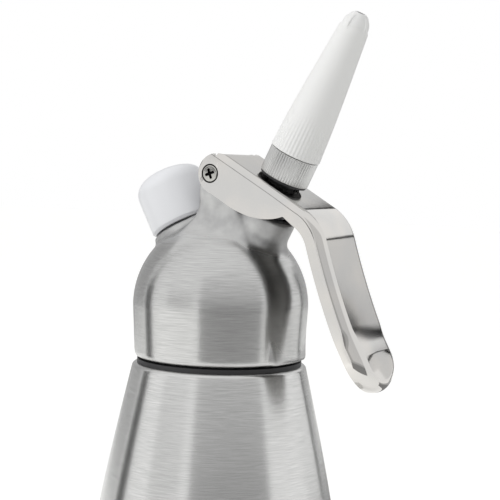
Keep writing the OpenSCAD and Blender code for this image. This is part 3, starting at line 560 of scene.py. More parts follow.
# Moulded acetal: as black, with a tighter gloss
black_plastic = plain_finish("moulded_black_acetal", "#1a1a1b", 0.4, 0.01, {"Roughness": 0.35, "IOR": 1.48})
# Moulded nylon: off-white and waxy
nylon = plain_finish("moulded_nylon", "#e4e2da", 0.5, 0.01, {"Roughness": 0.45, "IOR": 1.53})
# Moulded polypropylene: light sinks in a little, which softens the shade between the ribs
white_plastic = plain_finish("moulded_white_polypropylene", "#eeeeed", 0.35, 0.02,
                             {"Roughness": 0.42, "IOR": 1.49, "Subsurface Weight": 0.15,
                              "Subsurface Radius": (0.004, 0.004, 0.0038), "Subsurface Scale": 0.5})
# Moulded ABS: a cooler white with a clearer gloss
cap_plastic = plain_finish("moulded_white_abs_cap", "#e6e7ea", 0.35, 0.02, {"Roughness": 0.32, "IOR": 1.53})

# %% [markdown]
# The bottle was drawn and spun from one sheet of aluminium and then turned: a closed shell, 1.6 mm
# thick, with a hollow foot, a long shoulder, a rounded ledge under the head, and a threaded neck
# which shows when the head is off. It is one profile carried round the axis. The neck's rows lie
# close together, because the thread is a change of radius along them.

# %% Bottle
FOOT_R, BELLY_R, BELLY_Z, SHOULDER_R, LEDGE_Z, LEDGE_ROUND = 48.5, 50.97, 104.0, 35.05, 202.9, 1.9
FOOT_ROUND, BASE_KICK, BOTTLE_WALL = 6.0, 3.5, 1.6
NECK_R, NECK_BORE_R, NECK_H, NECK_THREAD, NECK_PITCH = 28.0, 25.0, 19.1, 1.5, 4.0
CONE = math.radians(13)
LIP_Z = LEDGE_Z + NECK_H
SHOULDER_Z = LEDGE_Z - LEDGE_ROUND * (1 - math.sin(CONE))
BOTTLE_STEPS = 288


def bottle_wall_profile(depth):
    """Foot and shoulder of the bottle at a depth under its skin: a hollow base, the corner, then one cubic
    curve that starts upright at the belly and ends along the cone under the ledge."""
    kick = BASE_KICK + depth
    base = cubic((0, kick), (FOOT_R * 0.35, kick), (FOOT_R * 0.5, depth), (FOOT_R * 0.66, depth))
    corner = arc((FOOT_R - FOOT_ROUND, FOOT_ROUND), FOOT_ROUND - depth, -90, 0)
    end = np.array([SHOULDER_R - depth, SHOULDER_Z])
    shoulder = cubic((BELLY_R - depth, BELLY_Z), (BELLY_R - depth, BELLY_Z + 26),
                     end + 50 * np.array([math.sin(CONE), -math.cos(CONE)]), end, 60)
    return np.concatenate([base, corner, shoulder])


ledge = arc((SHOULDER_R - LEDGE_ROUND * math.cos(CONE), LEDGE_Z - LEDGE_ROUND), LEDGE_ROUND, 13, 90, 8)[1:]
neck = np.linspace((NECK_R, LEDGE_Z + 0.3), (NECK_R, LIP_Z - 0.9), 90)
lip = rounded([(NECK_R, LIP_Z - 0.9), (NECK_R, LIP_Z, 0.8), (NECK_BORE_R, LIP_Z, 0.6),
               (NECK_BORE_R, LEDGE_Z - BOTTLE_WALL)])[1:]
bottle_profile = np.concatenate([bottle_wall_profile(0), ledge, [[NECK_R, LEDGE_Z]], neck, lip,
                                 bottle_wall_profile(BOTTLE_WALL)[::-1]])
climb = thread(bottle_profile, BOTTLE_STEPS, NECK_THREAD, NECK_PITCH, LEDGE_Z + 1.6, LIP_Z - 1.2)
on_neck = (bottle_profile[:, 0] == NECK_R) & (bottle_profile[:, 1] > LEDGE_Z)
add_turned("bottle_shell", bottle_profile, BOTTLE_STEPS, UPRIGHT, bottle_metal, "bottle", "bottle_aluminium",
           "bottle", change=climb * on_neck, ring=False, crease=40)

# %% [markdown]
# The head is a casting. The dome, the slanting valve boss, the lug that carries the lever and the
# boss of the charger port run into each other in hollow fillets, which a lathe profile can't do
# and a bevel does badly. So it is described as a distance field: a formula that is negative inside
# the metal. Two fields are joined with a smooth minimum, which makes the fillet, and bores are cut
# with a smooth maximum.

# %% Head: the field
HEAD_R, HEAD_RIM_R, RIM_Z = 35.1, 34.0, 205.2
SKIRT_BORE_R, SEAL_Z = 30.2, 224.4
BOSS_R, BOSS_TOP, POCKET_R, POCKET_FLOOR, GUIDE_R, GUIDE_BOTTOM = 12.0, -15.0, 8.0, -26.0, 6.0, -36.0
CHAMBER_R, SEAT_R, SEAT_S = 5.2, 9.5, -44.0
RECESS_R, RECESS_TAPER, RECESS_H = 24.0, 7.2, 8.5
PORT_R, PORT_H, NIPPLE_ROOT_R, SOCKET_FLOOR, GAS_R = 14.6, 34.6, 8.0, 24.0, 1.5
PIVOT_X, PIVOT_Z, LUG_R, LUG_HALF, AXLE_R, WEB_INSET = 2.9, DOME_Z + 52.6, 5.0, 12.8, 3.7, 0.3
LUG_LEAN, LUG_EASED = math.radians(18), 1.0
FILLET_WEB, FILLET_LUG, FILLET_UNDER_LUG, FILLET_BOSS, FILLET_PORT = 0.8, 5.0, 9.0, 4.0, 2.5
EDGE_BOSS, EDGE_PORT, EDGE_LUG, EDGE_RIM, EDGE_BORE, OVERLAP = 1.2, 0.6, 1.4, 2.4, 0.5, 0.5


def join(a, b, k):
    """Smooth minimum: where a and b are within k, their mix less k h (1 - h), and elsewhere the smaller."""
    h = np.clip(0.5 + 0.5 * (b - a) / k, 0, 1)
    return b + (a - b) * h - k * h * (1 - h)


def meet(a, b, k):
    """Smooth maximum, for the part that both fields hold."""
    return -join(-a, -b, k)


def turned_skin(p):
    """Distance in mm to the part that was turned: a dome on a slightly conical wall."""
    r, z = np.hypot(p[:, 0], p[:, 1]), p[:, 2]
    wall = r - HEAD_R + (HEAD_R - HEAD_RIM_R) * (DOME_Z - z) / (DOME_Z - RIM_Z)
    return np.where(z > DOME_Z, np.hypot(r, z - DOME_Z) - HEAD_R, wall)


def bore(radius, r, s, low=-math.inf, high=math.inf):
    """Distance to a round hole in mm: the largest of r - radius, s - high and low - s."""
    return np.maximum(r - radius, np.maximum(s - high, low - s))


def head_field(p):
    """Distance to the casting's surface in mm, negative inside, for an (n, 3) array of points. The fillet
    at the dome is wide under the lug and tight round the valve boss."""
    x, y, z = p.T
    r = np.hypot(x, y)
    v = local(p, VALVE)
    v_r, v_s = np.hypot(v[:, 0], v[:, 1]), v[:, 2]
    boss = meet(v_r - BOSS_R, v_s - BOSS_TOP, EDGE_BOSS)
    q = local(p, PORT)
    q_r, q_s = np.hypot(q[:, 0], q[:, 1]), q[:, 2]
    port = meet(q_r - PORT_R, q_s - PORT_H, EDGE_PORT)
    dx, dz = x - PIVOT_X, z - PIVOT_Z
    sloped = dx * math.cos(LUG_LEAN) + dz * math.sin(LUG_LEAN)
    bearing = np.arctan2(dz, dx)
    over = (bearing > LUG_LEAN) | (bearing < -math.pi + 1e-6)
    lug_side = np.where(over, np.hypot(dx, dz), np.maximum(-dx, sloped)) - LUG_R
    lug_half = LUG_HALF - LUG_EASED * (1 - ease(z, PIVOT_Z - 17, PIVOT_Z - 6))
    lug = meet(lug_side, np.abs(y) - lug_half, EDGE_LUG)
    web_side = np.maximum(np.maximum(v_s - BOSS_TOP, PIVOT_X - LUG_R - x), v[:, 0])
    web = meet(web_side, np.abs(y) - BOSS_R + WEB_INSET, EDGE_LUG)
    solid = join(lug, join(web, boss, FILLET_WEB), FILLET_LUG)
    fillet = FILLET_UNDER_LUG + (FILLET_BOSS - FILLET_UNDER_LUG) * ease(v[:, 0], -8, 2)
    solid = join(solid, turned_skin(p), fillet)
    solid = join(solid, port, FILLET_PORT)
    solid = meet(solid, RIM_Z - z, EDGE_RIM)
    recess_r = RECESS_R - RECESS_TAPER * np.clip(z - SEAL_Z, 0, 9) / RECESS_H
    cuts = [
        bore(SKIRT_BORE_R, r, z, high=SEAL_Z),
        bore(recess_r, r, z, SEAL_Z - 1, SEAL_Z + RECESS_H),
        bore(POCKET_R, v_r, v_s, POCKET_FLOOR),
        bore(GUIDE_R, v_r, v_s, GUIDE_BOTTOM - OVERLAP, POCKET_FLOOR + OVERLAP),
        bore(CHAMBER_R, v_r, v_s, SEAT_S - OVERLAP, GUIDE_BOTTOM + OVERLAP),
        bore(SEAT_R, v_r, v_s, SEAT_S - 16, SEAT_S),
        bore(NIPPLE_ROOT_R, q_r, q_s, SOCKET_FLOOR),
        bore(GAS_R, q_r, q_s, -OVERLAP, SOCKET_FLOOR + OVERLAP),
        np.hypot(dx, dz) - AXLE_R,
    ]
    return meet(solid, -np.minimum.reduce(cuts), EDGE_BORE)


# %% [markdown]
# The surface is where the field is zero. It is netted with quads on a grid of small cells, and
# each point is then moved on to it by Newton's method, so the mesh is even and lies on the true
# surface. A sculpted mesh could be as smooth, but its sizes would only be about right.

# %% Head: the net
def net(field, low, high, cell):
    """Surface net: one point in each cell that the surface crosses, at the mean of the crossings of its 12
    edges, and one quad round each grid edge whose ends lie on opposite sides."""
    low = np.array(low, float)
    count = np.ceil((np.array(high, float) - low) / cell).astype(int) + 1
    axes = [low[k] + cell * np.arange(count[k]) for k in range(3)]
    value = np.concatenate([
        field(np.stack(np.meshgrid(axes[0][k:k + 16], axes[1], axes[2], indexing="ij"), -1).reshape(-1, 3))
        for k in range(0, count[0], 16)]).reshape(count)
    inside = value < 0
    corners = np.array([[i, j, k] for i in (0, 1) for j in (0, 1) for k in (0, 1)])
    shown = [inside[i:count[0] - 1 + i, j:count[1] - 1 + j, k:count[2] - 1 + k] for i, j, k in corners]
    total = np.add.reduce([s.astype(np.int8) for s in shown])
    cells = np.argwhere((total > 0) & (total < 8))
    number = np.full(tuple(count - 1), -1)
    number[tuple(cells.T)] = np.arange(len(cells))
    spot, hits = np.zeros((len(cells), 3)), np.zeros(len(cells))
    for a in corners:
        for axis in range(3):
            if a[axis]:
                continue
            b = a + np.eye(3, dtype=int)[axis]
            fa, fb = value[tuple((cells + a).T)], value[tuple((cells + b).T)]
            crossed = (fa < 0) != (fb < 0)
            share = np.where(crossed, fa / np.where(crossed, fa - fb, 1), 0)
            spot += crossed[:, None] * (a + share[:, None] * (b - a))
            hits += crossed
    quads = []
    for axis in range(3):
        u, v = (axis + 1) % 3, (axis + 2) % 3
        before, after = inside.take(range(count[axis] - 1), axis), inside.take(range(1, count[axis]), axis)
        here = np.argwhere(before != after)
        across_two, last = here[:, [u, v]], count[[u, v]] - 1
        here = here[((across_two > 0) & (across_two < last)).all(1)]
        eu, ev = np.eye(3, dtype=int)[u], np.eye(3, dtype=int)[v]
        quad = np.stack([number[tuple((here - s).T)] for s in (eu + ev, ev, 0 * eu, eu)], -1)
        flip = ~inside[tuple(here.T)]
        quad[flip] = quad[flip][:, ::-1]
        quads.append(quad)
    return low + cell * (cells + spot / hits[:, None]), np.concatenate(quads)


def slope(field, p, step=0.02):
    """The field's gradient by central differences."""
    shifts = np.eye(3) * step
    return np.stack([(field(p + s) - field(p - s)) / (2 * step) for s in shifts], -1)


def settled(field, p, cell, rounds=4):
    """Newton's method: each point moves by -f grad f / |grad f|^2, at most half a cell a round."""
    for _ in range(rounds):
        g = slope(field, p)
        move = field(p)[:, None] * g / np.maximum((g * g).sum(1, keepdims=True), 1e-6)
        size = np.linalg.norm(move, axis=1, keepdims=True)
        p = p - move * np.minimum(1, cell / 2 / np.maximum(size, 1e-9))
    return p


# %% Head: the casting
CELL = 0.75
head_points, head_quads = net(head_field, (-38, -38, 202), (38, 38, 288), CELL)
head_points = settled(head_field, head_points, CELL)
head_mesh = mesh_of("head_casting", head_points, head_quads)
spots = np.empty(len(head_mesh.vertices) * 3, np.float32)
head_mesh.vertices.foreach_get("co", spots)
as_cast = ease(turned_skin(spots.reshape(-1, 3) / MM), 0.05, 0.9)
head_mesh.attributes.new("mark", "FLOAT", "POINT").data.foreach_set("value", as_cast.astype(np.float32))
print("share of the head left as cast:", round(float(as_cast.mean()), 2))
add_piece(head_mesh, head_metal, "head", "head_aluminium", "head_body", crease=50)

# %% [markdown]
# The lever was cut from 1.8 mm sheet and pressed into a channel in one stroke, so it has one
# section all along: a flat back and two side walls with a small bend between. The section is
# carried along the lever's side line, and the depth of its walls follows the outline of the
# flanges. At the rear only the two ears are left, each a round plate. At the front end the half
# section turns about the middle of the round end. One side is worked out and mirrored.

# %% Lever: its side line
LEVER_HALF, SHEET, PLATE_EDGE, HANDLE_EDGE, END_EDGE = 15.5, 1.8, 2.6, 3.8, 5.2
PLATE_H, PLATE_L, PLATE_REAR = 9.28, 41.0, 0.5
EAR_R, EAR_X, EAR_Z, FLANGE_LOW, GRIP_DEPTH, END_TAPER = 8.0, 2.4, 1.28, -6.5, 7.4, 1.5
BEND_R, BEND_ANGLE, SWEEP_R, SWEEP_ANGLE = 20.7, 44.0, 270.0, 7.0
FLARE_R, FLARE_ANGLE, GRIP_L, END_CURL = 80.0, 5.5, 4.5, 36.0
FLANGE_BELLY = (13, FLANGE_LOW), (22, FLANGE_LOW), (31, -3.4), (36, 2.6)
SECTION_STEPS, TURN_STEPS = 12, 32


def low_edge(u):
    """Lower edge of the flanges on the plate: the ear's circle, a level stretch and a cubic belly that rises
    to the depth of the handle's walls."""
    belly = cubic(*FLANGE_BELLY, 60)
    flange = np.interp(u, [*belly[:, 0], PLATE_L], [*belly[:, 1], PLATE_H - GRIP_DEPTH])
    circle = EAR_Z - np.sqrt(np.maximum(EAR_R ** 2 - (u - EAR_X) ** 2, 0))
    on_ear = np.abs(u - EAR_X) < EAR_R
    return np.where(u < EAR_X, circle, np.where(on_ear, np.minimum(circle, flange), flange))


def side_line():
    """The outer face's line as arrays x, z, slope, wall depth, clip and edge radius. The clip is how far the
    ear's round top lies under the plate. The plate is followed by a bend, a long curve outwards, a flare and
    an end, and the edge radius grows along them."""
    ear_turn = np.radians(np.linspace(0, math.degrees(math.acos((EAR_X - PLATE_REAR) / EAR_R)), 28))
    ear_u = EAR_X - EAR_R * np.cos(ear_turn)
    plate_u = np.concatenate([np.linspace(PLATE_REAR, 5, 16), np.linspace(5, PLATE_L, 60)[1:]])
    u = np.concatenate([ear_u, plate_u])
    top = EAR_Z + np.sqrt(np.maximum(EAR_R ** 2 - (u - EAR_X) ** 2, 0))
    clip = np.where(u < EAR_X, np.minimum(top - PLATE_H, 0), 0)
    edge = PLATE_EDGE + 0.25 * (HANDLE_EDGE - PLATE_EDGE) * ease(u, PLATE_L - 16, PLATE_L)
    rows = [np.stack([u, np.full_like(u, PLATE_H), 0 * u, PLATE_H - low_edge(u), clip, edge], -1)]
    for radius, turn, outwards, n, last_edge in (
            (BEND_R, BEND_ANGLE, -1, 40, HANDLE_EDGE), (SWEEP_R, SWEEP_ANGLE, 1, 30, HANDLE_EDGE),
            (FLARE_R, FLARE_ANGLE, 1, 14, END_EDGE)):
        x0, z0, a0 = rows[-1][-1, :3]
        t = np.linspace(0, 1, n + 1)[1:]
        a = a0 - outwards * t * math.radians(turn)
        x = x0 + outwards * radius * (math.sin(a0) - np.sin(a))
        z = z0 + outwards * radius * (math.cos(a0) - np.cos(a))
        edge = rows[-1][-1, 5] + (last_edge - rows[-1][-1, 5]) * ease(t, 0, 1)
        rows.append(np.stack([x, z, a, np.full_like(a, GRIP_DEPTH), 0 * a, edge], -1))
    x0, z0, a0 = rows[-1][-1, :3]
    grip = np.linspace(0, GRIP_L, 6)[1:]
    rows.append(np.stack([x0 + grip * math.cos(a0), z0 - grip * math.sin(a0), a0 + 0 * grip,
                          GRIP_DEPTH + 0 * grip, 0 * grip, END_EDGE + 0 * grip], -1))
    return np.concatenate(rows), len(ear_u)


# %% [markdown]
# Bent sheet has two radii at a corner, and the inner one is smaller by the sheet's thickness. The
# ears' round tops cut into that corner, so there the section is held down to the ear's height.

# %% Lever: its section
def half_section(depth, clip, edge, ear):
    """Half of the channel's section as (across, height) rows: over the outer corner down to the wall's foot,
    then back up the inside. The outer corner is edge (cos, sin), the inner one a sheet's thickness less. An
    ear's section starts at the wall. Heights above the clip sink to it, along the rounded corner."""
    depth, clip, edge, ear = depth[:, None], clip[:, None], edge[:, None], ear[:, None]
    b = np.radians(np.linspace(90, 0, SECTION_STEPS + 1))[None, :]
    middle = LEVER_HALF - edge
    start = np.where(ear, middle, 0)
    outer_y, outer_h = middle + edge * np.cos(b), -edge + edge * np.sin(b)
    inner_y, inner_h = middle + (edge - SHEET) * np.cos(b), -edge + (edge - SHEET) * np.sin(b)
    full = np.full_like(edge, LEVER_HALF)
    y = np.concatenate([start, outer_y, full, full - SHEET, inner_y[:, ::-1], start], 1)
    h = np.concatenate([0 * start, outer_h, -depth, -depth, inner_h[:, ::-1], 0 * start - SHEET], 1)
    over = h > clip
    foot = SECTION_STEPS + 2
    for part, size in ((slice(0, foot), edge), (slice(foot, None), edge - SHEET)):
        reach = middle + np.sqrt(np.maximum(size ** 2 - np.maximum(clip + edge, 0) ** 2, 0))
        moved = over[:, part] & (y[:, part] >= middle - 1e-9)
        y[:, part] = np.where(moved, np.maximum(y[:, part], reach), y[:, part])
    return y, np.where(over, np.broadcast_to(clip, h.shape), h)


# %% [markdown]
# The half section now follows the side line and turns about the middle of the round end, and its
# mirror image closes the sheet. Faces on the inside get their mark, a rougher sheet with painted
# shade, less towards the round end.

# %% Lever: the pressed sheet
line, ears = side_line()
across_mm, height_mm = half_section(line[:, 3], line[:, 4], line[:, 5], np.arange(len(line)) < ears)
turn = np.concatenate([np.zeros(len(line)), np.radians(np.linspace(0, 90, TURN_STEPS + 1))[1:]])
stop = np.concatenate([np.arange(len(line)), np.full(TURN_STEPS, len(line) - 1)])
y, h, (x0, z0, a0) = across_mm[stop], height_mm[stop], line[stop, :3].T[:, :, None]
feet = slice(SECTION_STEPS + 2, SECTION_STEPS + 4)
h[:, feet] += END_TAPER * np.sin(turn)[:, None] ** 2
a = a0 + y * np.sin(turn)[:, None] / END_CURL
half = np.stack([x0 + END_CURL * (np.sin(a) - np.sin(a0)) + h * np.sin(a), y * np.cos(turn)[:, None],
                 z0 + END_CURL * (np.cos(a) - np.cos(a0)) + h * np.cos(a)], -1)
rings, columns = half.shape[:2]
quads = [grid_quads(rings, columns)]
row = np.arange(ears - 1)[:, None] * columns
quads.append(row + np.array([columns - 1, 0, columns, 2 * columns - 1]))
last_ear, first_plate = (ears - 1) * columns, ears * columns
quads.append(np.array([[last_ear + columns - 1, last_ear, first_plate, first_plate + columns - 1]]))
inside = np.concatenate([np.tile(np.arange(columns - 1) > SECTION_STEPS + 1, rings - 1),
                         np.zeros(len(quads[1]) + 1)])
quads = np.concatenate(quads)
half = half.reshape(-1, 3)
sheet_points = np.concatenate([half, half * [1, -1, 1]])
sheet_quads = np.concatenate([quads, quads[:, ::-1] + len(half)])
sheet_points = placed(sheet_points, LEVER)
sheet_z = sheet_points[sheet_quads[:, 0], 2]
# Inside faces get the rougher sheet and its painted shade: in full above 225 mm, 0.4 of it below 190 mm.
dull_and_painted_shade = np.concatenate([inside, inside]) * (0.4 + 0.6 * ease(sheet_z, 190, 225))
lever_mesh = mesh_of("lever_sheet", sheet_points, sheet_quads, dull_and_painted_shade)

# %% [markdown]
# The holes are punched last, as on the real one: a hole in the plate for the valve's hub, one in
# each ear for the axle, and a small notch at the back of each ear. Then two small rollers are
# pressed into the underside of the plate, where the lever pushes the valve. Punching and joining
# are Boolean modifiers, applied at once.
# A small bevel takes the sharpness off the cut edges, and the normals are weighted by face area,
# so that the flat faces stay flat in a mirror finish.

# %% Lever: holes, pads and edges
def bar(radius, length, steps=64):
    """A round bar along Z, centred on the origin."""
    half = length / 2
    return turned(rounded([(0, -half), (radius, -half), (radius, half), (0, half)]), steps)


def applied(piece):
    """Bakes a piece's modifiers into its mesh."""
    graph = bpy.context.evaluated_depsgraph_get()
    mesh = bpy.data.meshes.new_from_object(piece.evaluated_get(graph))
    mesh.name = piece.data.name
    piece.modifiers.clear()
    piece.data = mesh


def combine(piece, points_quads, operation):
    """Joins a tool with a piece or cuts it away."""
    tool = bpy.data.objects.new("tool", mesh_of("tool", *points_quads))
    bpy.context.scene.collection.objects.link(tool)
    change = piece.modifiers.new("tool", "BOOLEAN")
    change.operation, change.solver, change.object = operation, "EXACT", tool
    bpy.context.view_layer.update()
    applied(piece)
    bpy.data.objects.remove(tool)


PLATE_HOLE_R, HOLE_U, PAD_R, PAD_L, PAD_U, PAD_Y, PAD_V = 7.6, 21.88, 1.6, 4.0, 16.97, 8.4, 6.68
NOTCH_R, NOTCH_U, NOTCH_V = 0.9, -2.0, 7.9
THROUGH, RUNNING_GAP, CUT_EDGE = 40, 0.05, 0.25
LEVER_TOOLS = (  # radius, length, centre in the lever's frame, lies across the lever, operation
    (PLATE_HOLE_R, 12, (HOLE_U, 0, PLATE_H), False, "DIFFERENCE"),
    (AXLE_R + RUNNING_GAP, THROUGH, (0, 0, 0), True, "DIFFERENCE"),
    (NOTCH_R, THROUGH, (NOTCH_U, 0, NOTCH_V), True, "DIFFERENCE"),
    (PAD_R, PAD_L, (PAD_U, -PAD_Y, PAD_V), True, "UNION"),
    (PAD_R, PAD_L, (PAD_U, PAD_Y, PAD_V), True, "UNION"))
lever = add_piece(lever_mesh, polished_steel, "lever", "polished_steel", "lever")
for radius, length, centre, lies_across, operation in LEVER_TOOLS:
    points, bar_quads = bar(radius, length)
    points = points[..., [0, 2, 1]] if lies_across else points
    combine(lever, (placed(points + centre, LEVER), bar_quads), operation)
print("lever faces:", len(lever.data.polygons))
edges = lever.modifiers.new("edges", "BEVEL")
edges.width, edges.segments, edges.limit_method = CUT_EDGE * MM, 2, "ANGLE"
edges.angle_limit, edges.harden_normals = math.radians(50), False
bpy.context.view_layer.update()
applied(lever)
finish_mesh(lever.data, 40)
flat_first = lever.modifiers.new("flat_faces_first", "WEIGHTED_NORMAL")
flat_first.keep_sharp = True

# %% [markdown]
# The nozzle is moulded in white polypropylene: a slender cone with fine ribs round its foot for
# the fingers, which die out upwards, and a round end with four shallow scoops. The ribs are a
# cosine of the angle times a fade along the cone. A scoop is a rounded rectangle on the surface,
# and its depth is eased from the distance to that rectangle's edge.

# %% Nozzle
TIP_BOTTOM, TIP_TOP, TIP_FOOT_R, TIP_SIDE_R, TIP_END_R, MOUTH_R = 10.8, 69.8, 10.2, 10.0, 5.8, 4.0
SOCKET_R, CHANNEL_S, CHANNEL_WIDER, MOUTH_DEEP = 7.4, 21.75, 0.6, 2.4
TIP_RIBS, TIP_RIB_DEPTH, RIBS_FADE, TIP_STEPS = 42, 0.15, (17, 29), 504
SCOOPS, SCOOP_DEPTH, SCOOP_HALF, SCOOP_L, SCOOP_AT, SCOOP_ROUND = 4, 0.5, 37, 6.6, 34, 1.4
END_RISE, END_TALL, LIP_R = 5.6, 5.9, 2.0
end_s, side_s = TIP_TOP - END_RISE, TIP_BOTTOM + 3
foot = rounded([(SOCKET_R, CHANNEL_S), (SOCKET_R, TIP_BOTTOM, 0.3), (TIP_FOOT_R, TIP_BOTTOM, 0.3),
                (TIP_FOOT_R, TIP_BOTTOM + 0.3)])[1:-1]
foot_side = np.linspace((TIP_FOOT_R, TIP_BOTTOM + 0.3), (TIP_SIDE_R, side_s), 6)
cone = cubic((TIP_SIDE_R, side_s), (TIP_SIDE_R - 0.7, TIP_BOTTOM + 18), (TIP_END_R + 1.9, TIP_TOP - 26),
             (TIP_END_R, end_s), 60)[1:]
bow = np.linspace(0, math.asin(END_RISE / END_TALL), 25)[1:]
narrowing = (np.cos(bow) - np.cos(bow[-1])) / (1 - np.cos(bow[-1]))
dome_end = np.stack([LIP_R + (TIP_END_R - LIP_R) * narrowing, end_s + END_TALL * np.sin(bow)], -1)
mouth = rounded([(LIP_R, TIP_TOP), (LIP_R - 0.3, TIP_TOP, 0.2), (MOUTH_R, TIP_TOP - MOUTH_DEEP, 0.5),
                 (MOUTH_R + CHANNEL_WIDER, CHANNEL_S + 6), (MOUTH_R + CHANNEL_WIDER, CHANNEL_S),
                 (SOCKET_R, CHANNEL_S)])[1:]
tip_profile = np.concatenate([foot, foot_side, cone, dome_end, mouth])
r, s = tip_profile[None, :, 0], tip_profile[None, :, 1]
row = np.arange(len(tip_profile))[None]
outside = (row >= len(foot) - 4) & (row < len(foot) + 3 + len(cone) + len(dome_end))
t = angles(TIP_STEPS)
ribs = -TIP_RIB_DEPTH * (0.5 - 0.5 * np.cos(TIP_RIBS * t)) * (1 - ease(s, *RIBS_FADE))
ribs = ribs * ease(s, TIP_BOTTOM, TIP_BOTTOM + 0.8)
sector, round_r = 2 * math.pi / SCOOPS, np.maximum(r, 2.5)
from_middle = np.abs((np.mod((t - math.radians(SCOOP_AT)) / sector + 0.5, 1) - 0.5) * sector) * round_r
beside = from_middle - math.radians(SCOOP_HALF) * round_r + SCOOP_ROUND
under = TIP_TOP - SCOOP_L + SCOOP_ROUND - s
edge = np.hypot(np.maximum(beside, 0), np.maximum(under, 0)) + np.minimum(np.maximum(beside, under), 0)
scoops = -SCOOP_DEPTH * (1 - ease(edge - SCOOP_ROUND, -0.5, 0.1))
scoops = scoops * (1 - ease(s, TIP_TOP - 1.6, TIP_TOP - 0.4))
add_turned("nozzle", tip_profile, TIP_STEPS, VALVE, white_plastic, "tip", "white_plastic", "nozzle_tip",
           change=(ribs + scoops) * outside)

# %% [markdown]
# Under the nozzle sits the chromed collar with fine straight knurls, and above it a threaded
# spigot that shows when the nozzle is screwed off. The knurls are 56 small ridges, each with a
# rounded crest.

# %% Knurled collar
COLLAR_H, COLLAR_R, COLLAR_RIBS, KNURL_DEPTH, KNURL_CREST = 10.5, 9.9, 56, 0.26, 1.5
SPIGOT_R, SPIGOT_H, SPIGOT_THREAD, SPIGOT_PITCH = 6.4, 10.0, 0.6, 2.0
STEM_R, STEM_TOP, STEM_BORE_R = 4.0, 8.0, 1.9
COLLAR_STEPS = COLLAR_RIBS * 10
spigot_top = COLLAR_H + SPIGOT_H
collar_profile = np.concatenate([
    rounded([(STEM_R, STEM_TOP), (STEM_R, 0, 0.2), (COLLAR_R, 0, 0.35), (COLLAR_R, COLLAR_H, 0.35),
             (SPIGOT_R, COLLAR_H, 0.1), (SPIGOT_R, COLLAR_H + 0.2)])[:-1],
    np.linspace((SPIGOT_R, COLLAR_H + 0.2), (SPIGOT_R, spigot_top - 0.5), 40),
    rounded([(SPIGOT_R, spigot_top - 0.5), (SPIGOT_R, spigot_top, 0.4), (STEM_BORE_R, spigot_top, 0.2),
             (STEM_BORE_R, STEM_TOP), (STEM_R, STEM_TOP)])[1:]])
r = collar_profile[:, 0]
wave = 0.5 - 0.5 * np.cos(COLLAR_RIBS * angles(COLLAR_STEPS))
knurls = -KNURL_DEPTH * wave ** KNURL_CREST * (r > COLLAR_R - 0.3)
climb = thread(collar_profile, COLLAR_STEPS, SPIGOT_THREAD, SPIGOT_PITCH, COLLAR_H + 1.2, COLLAR_H + 9)
add_turned("knurled_collar", collar_profile, COLLAR_STEPS, VALVE, knurled_brass, "valve", "knurled_steel",
           "nozzle_adapter", change=knurls + climb * (r == SPIGOT_R))

# %% [markdown]
# The charger port has a short white cap with a softly domed top. Under it is a threaded nipple
# with a piercing pin, which shows when the cap is off.

# %% Charger cap and nipple
CAP_BOTTOM, CAP_TOP, CAP_R, CAP_BORE_R = 35.7, 59.7, 14.5, 11.4
CAP_CROWN, CAP_ROUND, CAP_CEILING, ROUND_STEPS = 3.0, 8.0, 49.5, 192
side_top = CAP_TOP - CAP_CROWN - CAP_ROUND * 0.6
crown = cubic((CAP_R, side_top), (CAP_R - 0.4, side_top + CAP_ROUND * 0.75), (CAP_R * 0.6, CAP_TOP),
              (0, CAP_TOP), 40)
cap_profile = np.concatenate([
    rounded([(0, CAP_CEILING), (CAP_BORE_R, CAP_CEILING, 0.5), (CAP_BORE_R, CAP_BOTTOM, 0.4),
             (CAP_R - 1.0, CAP_BOTTOM, 0.5), (CAP_R, CAP_BOTTOM + 1.2, 0.8), (CAP_R, side_top)])[:-1], crown])
add_turned("port_cap", cap_profile, ROUND_STEPS, PORT, cap_plastic, "cap", "cap_plastic", "charger_cap",
           ring=False, crease=32)

WASHER_TOP, FLANGE_TOP, NIPPLE_TOP, CUP_FLOOR, NIPPLE_FOOT = 35.4, 37.0, 48.0, 39.0, 30
NIPPLE_R, NIPPLE_FLANGE_R, CUP_R, PIN_FOOT_R, NIPPLE_BORE_R = 10.0, 10.9, 7.4, 3.0, 4.4
NIPPLE_THREAD, NIPPLE_PITCH = 0.8, 2.5
nipple_profile = np.concatenate([
    rounded([(NIPPLE_BORE_R, NIPPLE_FOOT), (NIPPLE_BORE_R, SOCKET_FLOOR), (NIPPLE_ROOT_R, SOCKET_FLOOR, 0.3),
             (NIPPLE_ROOT_R, WASHER_TOP), (NIPPLE_FLANGE_R, WASHER_TOP, 0.2),
             (NIPPLE_FLANGE_R, FLANGE_TOP, 0.3), (NIPPLE_R, FLANGE_TOP, 0.1),
             (NIPPLE_R, FLANGE_TOP + 0.3)])[:-1],
    np.linspace((NIPPLE_R, FLANGE_TOP + 0.3), (NIPPLE_R, NIPPLE_TOP - 0.6), 60),
    rounded([(NIPPLE_R, NIPPLE_TOP - 0.6), (NIPPLE_R, NIPPLE_TOP, 0.5), (CUP_R, NIPPLE_TOP, 0.4),
             (CUP_R, CUP_FLOOR, 0.3), (PIN_FOOT_R, CUP_FLOOR), (PIN_FOOT_R, NIPPLE_FOOT),
             (NIPPLE_BORE_R, NIPPLE_FOOT)])[1:]])
climb = thread(nipple_profile, ROUND_STEPS, NIPPLE_THREAD, NIPPLE_PITCH, FLANGE_TOP + 1, NIPPLE_TOP - 1)
add_turned("threaded_nipple", nipple_profile, ROUND_STEPS, PORT, turned_steel, "head", "steel",
           "charger_nipple", change=climb * (nipple_profile[:, 0] == NIPPLE_R), crease=45)

# %% [markdown]
# Two cross-head screws close the ends of the axle. A screw is a turned profile whose top rows
# sink where the cross recess is: the depth at a point is eased from the distance to the two
# crossed slots, which narrow towards their ends as a driver's blades do.

